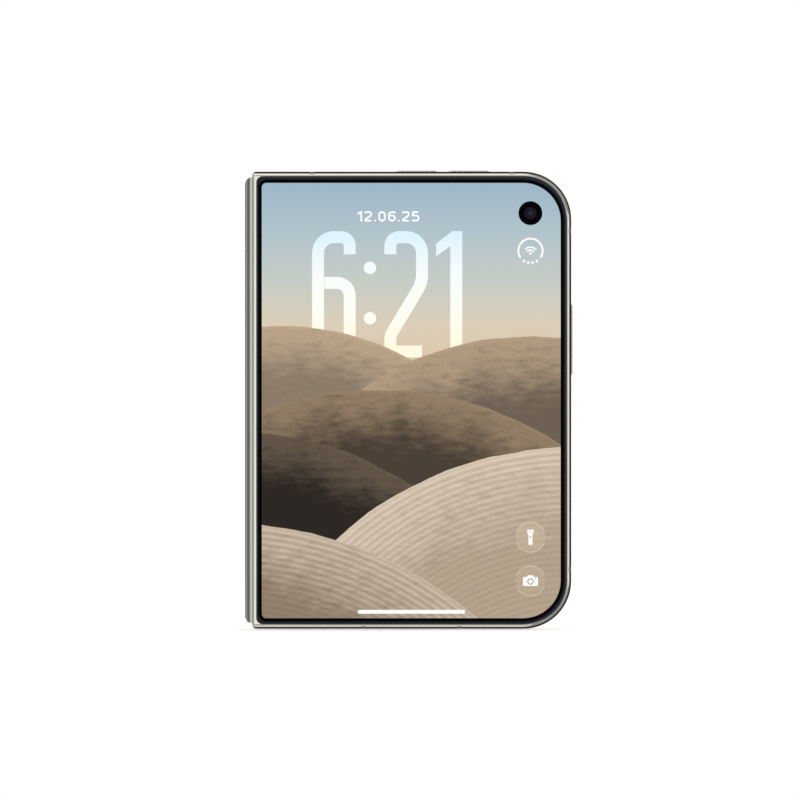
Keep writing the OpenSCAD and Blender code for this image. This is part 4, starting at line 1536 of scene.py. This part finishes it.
@dataclass
class CoverScreen:
    """Everything that the cover display shows, and its camera.

    Attributes:
        picture: Picture on the display.
        lift: How far the signs stand over the glass.
        depth: Their thickness, most of it in the glass.
        inlay: How far a button's disc lies under its sign, and the sign's holes over it.
        icon_x: Middle of the right column of signs.
        torch_z: Height of the button with the torch.
        camera_z: Height of the button with the camera.
        button_r: Radius of the round buttons.
        button_rim: Width of their rims.
        button_span: Lowest and highest point of the buttons' shades.
        bar: Left and right end of the bar at the bottom.
        bar_z: Height of the bar.
        bar_width: Width of the bar.
        eye_r: Radius of the cover camera's lens.
    """

    picture: Picture = field(default_factory=Picture)
    lift: float = 0.008
    depth: float = 0.02
    inlay: float = 0.003
    icon_x: float = 32.02
    torch_z: float = 24.16
    camera_z: float = 12.63
    button_r: float = 4.01
    button_rim: float = 0.12
    button_span: Point = (8.0, 29.0)
    bar: Point = (-13.05, 14.27)
    bar_z: float = 4.49
    bar_width: float = 1.03
    eye_r: float = 1.66

    def build(self) -> None:
        """Builds the signs, the round buttons and the camera's eye."""
        self.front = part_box("cover_glass")[0].y / MM - self.lift
        white = Glow("sign_white", (paint(252, 252, 250), paint(255, 255, 255))).material()
        self._clock()
        self._date(white)
        self._status(white)
        self._home_bar(white)
        self._round_buttons(white)
        self._eye()

    def _finish(self, form: Form, name: str, material: bpy.types.Material) -> None:
        """Gives flat signs their thickness and lets them ride on the front half.

        Args:
            form: The signs' faces.
            name: Name of the piece.
            material: Material of the piece.
        """
        form.thicken(self.depth)
        made = form.to_object(name, material)
        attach(made, Body.FRONT.value)

    def _clock(self) -> None:
        """Builds the large numerals, which the picture's sheets cover from below."""
        form = Form()
        clock = Lettering("6:21", x=-25.6, z=71.6, width=11.5, height=33.3, weight=3.15, gap=2.15)
        clock.build(form, self.front)
        tones = (paint(255, 250, 224), paint(253, 253, 244), paint(248, 252, 253), paint(221, 243, 254))
        finish = Glow("clock_glow", tones, low=74.0, high=104.0, picture=self.picture)
        self._finish(form, "clock_numerals", finish.material())

    def _date(self, material: bpy.types.Material) -> None:
        """Builds the small row of numerals over the clock.

        Args:
            material: Material of the numerals.
        """
        form = Form()
        date = Lettering("12.06.25", x=-13.6, z=107.45, width=2.0, height=2.7, weight=0.45, gap=0.6)
        date.build(form, self.front)
        self._finish(form, "date_numerals", material)

    def _status(self, material: bpy.types.Material) -> None:
        """Builds the status sign.

        Args:
            material: Material of the sign.
        """
        form = Form()
        StatusSign(self.icon_x).build(form, self.front)
        self._finish(form, "status_sign", material)

    def _home_bar(self, material: bpy.types.Material) -> None:
        """Builds the bar at the bottom.

        Args:
            material: Material of the bar.
        """
        form = Form()
        form.stroke([(x, self.bar_z) for x in self.bar], self.bar_width, self.front)
        self._finish(form, "home_bar", material)

    def _sign(self, form: Form, outline: Sequence[Corner], z: float) -> None:
        """Adds a button's sign at the button's height."""
        corners = [(self.icon_x + across, z + up, radius) for across, up, radius in outline]
        form.polygon(rounded(corners, True, 6), self.front - self.inlay)

    def _round_buttons(self, material: bpy.types.Material) -> None:
        """Builds the two round buttons with their signs.

        Args:
            material: Material of the signs.
        """
        x, y = self.icon_x, self.front
        veil_tones = (paint(192, 172, 146), paint(208, 190, 166))
        veil = Glow("button_veil", veil_tones, *self.button_span, self.picture, 0.5)
        rim = Glow("button_rim", (paint(226, 210, 186), paint(236, 222, 202)), *self.button_span)
        dark = Glow("sign_dark", (paint(168, 150, 128), paint(176, 158, 136)), *self.button_span)
        discs, rims, signs, holes = Form(), Form(), Form(), Form()
        rim_r = self.button_r - self.button_rim / 2
        for z in (self.torch_z, self.camera_z):
            discs.disc((x, z), self.button_r, y + self.inlay, 72)
            for start in (25, 205):
                rims.stroke(arc((x, z), rim_r, start, start + 130, 40), self.button_rim, y)
        self._sign(signs, TORCH_HEAD, self.torch_z)
        self._sign(signs, TORCH_GRIP, self.torch_z)
        self._sign(signs, CAMERA_BODY, self.camera_z)
        top = y - 2 * self.inlay
        holes.disc((x, self.torch_z + 0.1), 0.22, top)
        holes.stroke(arc((x, self.camera_z - 0.15), 0.72, 0, 355, 40), 0.26, top, True)
        holes.disc((x + 1.36, self.camera_z + 0.66), 0.17, top)
        self._finish(discs, "button_discs", veil.material())
        self._finish(rims, "button_rims", rim.material())
        self._finish(signs, "button_signs", material)
        self._finish(holes, "button_sign_holes", dark.material())

    def _eye(self) -> None:
        """Builds the cover camera's lens in its hole."""
        form = Form()
        edge = self.eye_r
        profile = [(0.0, 0.0), (0.6, 0.001), (1.2, 0.003), (edge, 0.006), (edge, 0.03), (0.0, 0.03)]
        form.lathe(profile, (self.icon_x, self.front, EYE_Z), 72)
        # Painted reflection of the cover camera's lens: a pale highlight in the middle, dark purple and blue
        # rings round it, and a painted glow
        coating_reflections = (
            (0.0, paint(92, 84, 70)),
            (0.08, paint(40, 38, 54)),
            (0.25, paint(24, 24, 46)),
            (0.55, paint(20, 18, 28)),
            (0.88, paint(17, 16, 24)),
            (1.0, paint(6, 6, 8)),
        )
        finish = LensBead("eye_coating_reflection", self.icon_x, EYE_Z, edge, coating_reflections)
        eye = form.to_object("cover_camera_eye", finish.material())
        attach(eye, Body.FRONT.value)


@dataclass
class FoldingDisplay:
    """Fold of the inner display, built as the loop that it makes when the phone is closed; open, it lies
    flat.

    Each half of the fold is laid out as it lies in the open phone, and each of its
    points is then turned about the hinge axis to where it lies in the closed one.

    Attributes:
        edge_x: Row X of the hinge edge.
        plane_y: Row Y of the plane where the halves meet.
        axis: Hinge axis, across and outwards from that edge and plane.
        pivot: Distance of the fold's end from the hinge edge.
        middle: The same for the fold's middle in the open phone.
        faces: The film's two faces, outwards from the plane.
        heights: Its lowest and highest point.
        start: Sum of both distances where the bend starts.
        end: The same at the fold's middle.
        columns: Number of steps along each half.
        blend_z: Height of the blend's two points, in metres; not used.
    """

    edge_x: float = HINGE_X
    plane_y: float = -1.4
    axis: Point = (0.98, 1.08)
    pivot: float = 11.25
    middle: float = -0.1
    faces: Point = (0.34, 0.79)
    heights: Point = (3.3, 117.3)
    start: float = 6.6
    end: float = 1.495
    columns: int = 110
    blend_z: float = 0.06

    def _share(self, x: float, z: float) -> float:
        """Returns the bend's share at a point of the closed phone."""
        t = min(max((self.start - x - z) / (self.start - self.end), 0.0), 1.0)
        return t * t * (3 - 2 * t)

    def _closed(self, x: float, z: float) -> Point:
        """Finds where a point of the open fold lies in the closed phone.

        Args:
            x: Distance from the hinge edge in the open phone.
            z: Distance outwards from the plane.

        Returns:
            The same distances in the closed phone.
        """
        across, out = x - self.axis[0], z - self.axis[1]

        def turned(share: float) -> Point:
            """Turns the point about the axis.

            Args:
                share: Share of a right angle.

            Returns:
                The turned point.
            """
            angle = share * math.pi / 2
            return (
                self.axis[0] + across * math.cos(angle) - out * math.sin(angle),
                self.axis[1] + across * math.sin(angle) + out * math.cos(angle),
            )

        low, high = 0.0, 1.0
        for _ in range(48):
            middle = (low + high) / 2
            if self._share(*turned(middle)) > middle:
                low = middle
            else:
                high = middle
        return turned((low + high) / 2)

    def build(self) -> None:
        """Builds the fold's two halves."""
        material = DarkFilm("folding_film").material()
        for body, side in ((Body.REAR, 1), (Body.FRONT, -1)):
            form = Form()

            def place(share: float, depth: float, side: int = side) -> Point:
                """Returns row X and Y of a point of the film."""
                x, z = self._closed(self.pivot + (self.middle - self.pivot) * share, depth)
                return self.edge_x + x, self.plane_y + side * z

            form.sheet(self.columns, self.heights, self.faces, place)
            made = form.to_object(f"display_fold_{body.value}", material)
            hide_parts("inner_display_fold")
            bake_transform(made)


@dataclass
class SpineRibbon:
    """Flat cable from board to board round the inside of the spine.

    Attributes:
        fold: Fold of the inner display, whose hinge axes the cable bends about.
        radius: Radius of its bends.
        thickness: Thickness of the film.
        reach: Distance of its ends from the hinge edge.
        columns: Number of steps along each half.
        start: Where the blend starts, from the hinge edge and outwards from the plane; not used.
        end: Where it ends; not used.
        blend_z: Height of the blend's two points, in metres; not used.
    """

    fold: FoldingDisplay
    radius: float = 2.15
    thickness: float = 0.12
    reach: float = 16.6
    columns: int = 60
    start: Point = (1.2, 3.23)
    end: Point = (-1.1, 1.2)
    blend_z: float = 0.09

    def _place(self, share: float, depth: float) -> Point:
        """Finds a point of the cable.

        Args:
            share: Share of the way from its end to the middle of the spine.
            depth: Distance through the film.

        Returns:
            Distances from the hinge edge and outwards from the plane.
        """
        axis = self.fold.axis
        lengths = (self.reach - axis[0], math.pi / 2 * self.radius, axis[1])
        run, radius = share * sum(lengths), self.radius - depth
        if run < lengths[0]:
            return self.reach - run, axis[1] + radius
        if run < lengths[0] + lengths[1]:
            angle = (run - lengths[0]) / self.radius
            return axis[0] - radius * math.sin(angle), axis[1] + radius * math.cos(angle)
        return axis[0] - radius, sum(lengths) - run

    def build(self) -> None:
        """Builds the cable's two halves."""
        material = FlexFilm("flex_film").material()
        low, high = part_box("spine_ribbon")
        edge, plane = self.fold.edge_x, self.fold.plane_y
        for body, side in ((Body.REAR, 1), (Body.FRONT, -1)):

            def place(share: float, depth: float, side: int = side) -> Point:
                """Returns row X and Y of a point of the cable."""
                x, z = self._place(share, depth)
                return edge + x, plane + side * z

            form = Form()
            form.sheet(self.columns, (low.z / MM, high.z / MM), (0.0, self.thickness), place)
            made = form.to_object(f"spine_ribbon_{body.value}", material)
            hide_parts("spine_ribbon")
            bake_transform(made)


@dataclass
class RearCameras:
    """Lens elements, flash lens and the rear half's small details.

    Attributes:
        lens_x: Middles of the two lenses.
        lens_z: Their height.
        bead: Profile of a lens's inner element: radius, and place along Y from the module's top.
        collar: Profile of the ring round it.
        coated_r: Radius that the painted coating reflections span.
        flash_x: Middle of the flash.
        flash_r: Radius of the flash's lens.
        flash_rings: Number of steps in the flash's lens.
        contacts: Number of contacts on each face of the port's tongue.
        contact: Width, length and pitch of a contact.
        contact_rise: How far a contact stands out of the tongue.
        contact_foot: Distance of its lower end from the tongue's.
        contact_bevel: Width of its bevels.
    """

    lens_x: Point = (27.52, 10.92)
    lens_z: float = 105.35
    bead: tuple[Point, ...] = (
        (0.0, -0.35), (0.7, -0.38), (1.4, -0.5), (2.0, -0.72), (2.0, -0.95), (0.0, -0.95),
    )
    collar: tuple[Point, ...] = ((2.6, -0.82), (2.9, -0.62), (3.35, -0.45), (3.45, -0.52), (2.75, -0.95))
    coated_r: float = 2.6
    flash_x: float = 0.02
    flash_r: float = 2.98
    flash_rings: int = 8
    contacts: int = 12
    contact: tuple[float, float, float] = (0.26, 3.1, 0.5)
    contact_rise: float = 0.02
    contact_foot: float = 0.5
    contact_bevel: float = 0.008

    def build(self) -> None:
        """Builds the lens elements, the flash lens and the port's contacts."""
        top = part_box("camera_modules")[1].y / MM
        for number, x in enumerate(self.lens_x, 1):
            form = Form()
            for profile in (self.bead, self.collar):
                form.lathe(profile, (x, top, self.lens_z))
            # Each lens element gets painted coating reflections and their painted glow
            finish = LensBead(f"lens_coating_reflection_{number}", x, self.lens_z, self.coated_r)
            self._ride(form, f"lens_elements_{number}", finish, Slot.LENS)
        self._flash()
        self._contacts()

    @staticmethod
    def _ride(form: Form, name: str, finish: Finish, slot: Slot) -> bpy.types.Object:
        """Ends a form as a piece that rides on the rear half.

        Args:
            form: The piece's mesh.
            name: Name of the piece.
            finish: Finish of the piece.
            slot: Slot of the record; not used.

        Returns:
            The new object.
        """
        made = form.to_object(name, finish.material())
        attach(made, Body.REAR.value)
        return made

    def _flash(self) -> None:
        """Builds the flash's lens, stepped in rings."""
        profile = [(0.0, -0.06)]
        pitch = self.flash_r / self.flash_rings
        for ring in range(1, self.flash_rings):
            profile += [(pitch * ring - 0.05, -0.015), (pitch * ring, -0.07)]
        profile += [(self.flash_r - 0.05, 0.0), (self.flash_r, -0.05), (self.flash_r, -0.6), (0.0, -0.6)]
        form = Form()
        form.lathe(profile, (self.flash_x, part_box("flash_window")[1].y / MM, self.lens_z))
        made = self._ride(form, "flash_lens", Plastic("flash_diffuser", FLASH_TINT, 0.25), Slot.DIFFUSER)
        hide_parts("flash_window")

    def _contacts(self) -> None:
        """Builds the contacts on both faces of the port's tongue."""
        low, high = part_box("port_tongue")
        form = Form()
        width, length, pitch = self.contact
        middle, bottom = (low.x + high.x) / 2 / MM, low.z / MM + self.contact_foot
        front, rear = low.y / MM, high.y / MM
        for near, far in ((front - self.contact_rise, front), (rear, rear + self.contact_rise)):
            for number in range(self.contacts):
                x = middle + (number - (self.contacts - 1) / 2) * pitch
                start, end = (x - width / 2, near, bottom), (x + width / 2, far, bottom + length)
                form.block(start, end, self.contact_bevel)
        self._ride(form, "port_contacts", Metal("contact_gilt", paint(226, 190, 112), 0.25), Slot.COPPER)


class FrameFinishes:
    """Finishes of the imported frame's own nodes."""

    def __init__(self, picture: Picture) -> None:
        """Sorts the nodes by finish.

        Args:
            picture: Picture on the cover display.
        """
        silver, bright = paint(226, 223, 216), paint(233, 231, 225)
        brushed = {"relief": 0.2 * MICRON, "brushing": (1.0, 1.0, 0.05), "stroke": 0.12}
        rolled = {"relief": 0.6 * MICRON, "brushing": (0.1, 1.0, 1.0), "stroke": 0.1}
        self.by_finish: dict[Finish, tuple[str, ...]] = {
            # The frame, the spine and the antenna bands get painted dark reflections along their round edges
            Metal("frame_metal", silver, 0.07, reflection_levels=EDGE_REFLECTION_LEVELS, lip=Lip(HINGE_X), glance=GLANCE):
                ("rear_frame", "front_frame"),
            Metal("spine_metal", silver, 0.1, reflection_levels=SPINE_REFLECTION_LEVELS, glance=GLANCE, **brushed):
                ("spine_cover",),
            Metal("island_metal", bright, 0.09): ("camera_island", "lens_rings"),
            Metal("button_metal", bright, 0.4): ("volume_up_button", "volume_down_button", "side_button"),
            Plastic("antenna_plastic", paint(200, 197, 190), 0.4, reflection_levels=EDGE_REFLECTION_LEVELS):
                ("rear_antenna_bands", "front_antenna_bands"),
            SatinGlass("rear_satin_glass", paint(216, 211, 200)): ("rear_glass",),
            LitGlass("cover_glass_lit", picture): ("cover_glass",),
            LitGlass("cover_panel_lit", picture): ("cover_display",),
            LensGlass("camera_window_glass"): ("lens_windows",),
            Plastic("camera_black", paint(20, 20, 23), 0.32, grain=0.1):
                ("camera_modules", "cover_camera", "inner_camera"),
            Plastic("flash_glass", FLASH_TINT, 0.25): ("flash_window",),
            Phosphor("flash_phosphor"): ("flash_led",),
            CircuitBoard("board_mask"): ("main_board", "front_board"),
            Metal("can_plate", paint(196, 198, 200), 0.28, **rolled): ("shield_cans", "haptic_motor"),
            FoilPouch("cell_foil"): ("rear_battery", "front_battery"),
            WoundCopper("coil_copper", x=0.72, z=52.6): ("charging_coil",),
            Metal("washer_bronze", paint(190, 138, 90), 0.28): ("friction_washers",),
            Metal("magnet_plating", paint(176, 177, 178), 0.22):
                ("charging_magnets", "rear_latch_magnets", "front_latch_magnets"),
            Plastic("speaker_black", paint(26, 26, 28), 0.5): ("loudspeaker", "earpiece", "button_switches"),
            Plastic("port_black", paint(16, 16, 18), 0.42): ("port_tongue",),
            Plastic("rim_black", paint(20, 20, 22), 0.48, grain=0.05): ("rear_rim", "front_rim"),
            DarkFilm("inner_film"): ("inner_display_rear", "inner_display_front", "inner_display_fold"),
            MachinedSteel("hinge_steel", paint(188, 187, 184)): (
                "rear_hinge_arms", "front_hinge_arms", "hinge_pins", "rear_wing", "front_wing", "lift_plate",
            ),
            Metal("port_steel", paint(178, 178, 177), 0.24): ("port_shell",),
            MachinedSteel("bracket_steel", paint(150, 148, 143), pitch=0.16, roughness=0.36): (
                "upper_bracket", "lower_bracket", "bracket_screws", "rear_arm_screws", "front_arm_screws",
            ),
            FlexFilm("ribbon_film"): ("spine_ribbon",),
        }

    def apply(self, nodes: dict[str, bpy.types.Object]) -> None:
        """Gives every node its finish.

        Args:
            nodes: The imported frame's nodes by name.
        """
        bare = set(nodes)
        for finish, names in self.by_finish.items():
            material = finish.material()
            for name in names:
                data = nodes[name].data
                if not data.materials:
                    data.materials.append(material)
                for index in range(len(data.materials)):
                    data.materials[index] = material
            bare -= set(names)
            LOG.info("finish %s: %s", finish.name, ", ".join(names))
        if bare:
            LOG.warning("nodes without a finish: %s", ", ".join(sorted(bare)))


@dataclass
class Studio:
    """Camera, floor and light.

    Attributes:
        distance: Distance of the camera from the cover glass, in metres.
        span: Width of the view at the cover glass, in metres.
        aim: Point that the camera looks at, as row X and Z in metres.
        sensor: Width of the camera's sensor in millimetres.
        clip: Nearest and furthest distance that the camera sees, in metres.
        floor_radius: Radius of the floor in metres.
        floor_gap: How far the floor lies under the phone, in metres.
        floor_glow: Brightness that the camera sees the floor's paint lifted by.
        cards: Levels of the studio in the reflections, by the angle in degrees
            from the front: dark in front, bright beside the phone.
        diagonal: Share of the light that the dark parts diagonally in front take away.
    """

    distance: float = 4.5
    span: float = 0.21105
    aim: Point = (-0.0024, 0.06036)
    sensor: float = 36.0
    clip: Point = (0.05, 20.0)
    floor_radius: float = 1.6
    floor_gap: float = 0.0002
    floor_glow: float = 0.18
    cards: tuple[Point, ...] = (
        (0, 0.04), (6, 0.07), (9, 0.14), (14, 0.26), (19, 0.62), (30, 0.74), (40, 0.95),
        (52, 1.08), (62, 1.12), (80, 1.0), (100, 0.92), (150, 0.9), (180, 0.95),
    )
    diagonal: float = 0.65

    def build(self) -> None:
        """Builds the studio."""
        self._camera()
        self._world()
        self._floor()
        self._lamp("key_light", (-0.9, -0.9, 1.1), size=1.0, power=5.0)
        self._lamp("fill_light", (1.0, 0.7, 0.9), size=1.0, power=3.0)

    def _camera(self) -> None:
        """Places the camera straight in front of the cover display."""
        data = bpy.data.cameras.new("camera")
        data.sensor_width = self.sensor
        data.lens = self.sensor * self.distance / self.span
        data.clip_start, data.clip_end = self.clip
        camera = bpy.data.objects.new("camera", data)
        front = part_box("cover_glass")[0].y
        camera.location = (self.aim[0], front - self.distance, self.aim[1])
        camera.rotation_euler = (math.pi / 2, 0.0, 0.0)
        bpy.context.scene.collection.objects.link(camera)
        bpy.context.scene.camera = camera

    def _world(self) -> None:
        """Lights the scene evenly, with a studio in the reflections that is dark in front."""
        world = bpy.data.worlds.new("studio")
        world.use_nodes = True
        bpy.context.scene.world = world
        shader = Shader(world.node_tree)
        x, y, z = shader.split(shader.node("ShaderNodeTexCoord", output="Generated"))
        angle = (0.0 - y).done("ARCCOSINE") / math.pi
        stops = [(place / 180, (level, level, level * 0.985, 1.0)) for place, level in self.cards]
        # Half-way between sideways and upwards the product of both shares is largest
        corner = (x * z).done("ABSOLUTE").step(0.03, 0.13) * (0.0 - y).step(0.1, 0.5)
        strength = (z * 0.2 + 1.0) * (1.0 - corner * self.diagonal)
        sockets = {0: shader.ramp(angle, stops), "Scale": strength}
        cards = shader.node("ShaderNodeVectorMath", {"operation": "SCALE"}, sockets)
        ray = shader.node("ShaderNodeLightPath")
        level = shader.blend((0.97, 0.97, 0.96, 1.0), cards, ray.output("Is Glossy Ray"))
        level = shader.blend(level, grey(1.0), ray.output("Is Camera Ray"))
        background = shader.node("ShaderNodeBackground", None, {"Color": level, "Strength": 1.0})
        shader.node("ShaderNodeOutputWorld", None, {"Surface": background})

    def _floor(self) -> None:
        """Lays a pale floor under the phone that keeps its shadow and isn't mirrored."""
        form = Form()
        bmesh.ops.create_circle(form.mesh, cap_ends=True, radius=self.floor_radius / MM, segments=96)
        bmesh.ops.translate(form.mesh, verts=form.mesh.verts[:], vec=(0.0, 0.0, -self.floor_gap / MM))
        material = bpy.data.materials.new("floor_paint")
        material.use_nodes = True
        shader = Shader(material.node_tree)
        ray = shader.node("ShaderNodeLightPath")
        glow = shader.blend(grey(0.0), grey(self.floor_glow), ray.output("Is Camera Ray"))
        paper = shader.node("ShaderNodeBsdfPrincipled", None, {
            "Base Color": paint(236, 236, 236),
            "Roughness": 0.9,
            "Specular IOR Level": 0.1,
            "Emission Color": glow,
            "Emission Strength": 1.0,
        })
        clear = shader.node("ShaderNodeBsdfTransparent")
        seen = shader.node("ShaderNodeMixShader", None, {0: ray.output("Is Glossy Ray"), 1: paper, 2: clear})
        shader.node("ShaderNodeOutputMaterial", None, {"Surface": seen})
        form.to_object("floor", material)

    @staticmethod
    def _lamp(name: str, place: Sequence[float], size: float, power: float) -> None:
        """Hangs a soft square lamp that looks at the phone's middle.

        Args:
            name: Name of the lamp.
            place: Its place in metres.
            size: Side of the square.
            power: Power in watts.
        """
        data = bpy.data.lights.new(name, "AREA")
        data.size, data.energy = size, power
        lamp = bpy.data.objects.new(name, data)
        lamp.location = place
        away = Vector((0.0, 0.0, 0.06)) - Vector(place)
        lamp.rotation_euler = away.to_track_quat("-Z", "Y").to_euler()
        bpy.context.scene.collection.objects.link(lamp)


def corners(box: tuple[Vector, Vector]) -> list[list[float]]:
    """Returns a box as plain lists."""
    return [list(box[0]), list(box[1])]


def main() -> None:
    """Dresses the phone and sets up the studio."""
    logging.basicConfig(level=logging.INFO, format="%(name)s: %(message)s")
    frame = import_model()
    bpy.context.scene.view_settings.view_transform = "Standard"
    screen = CoverScreen()
    fold = FoldingDisplay()
    FrameFinishes(screen.picture).apply(frame["nodes"])
    screen.build()
    fold.build()
    SpineRibbon(fold).build()
    RearCameras().build()
    Studio().build()


if __name__ == "__main__":
    main()
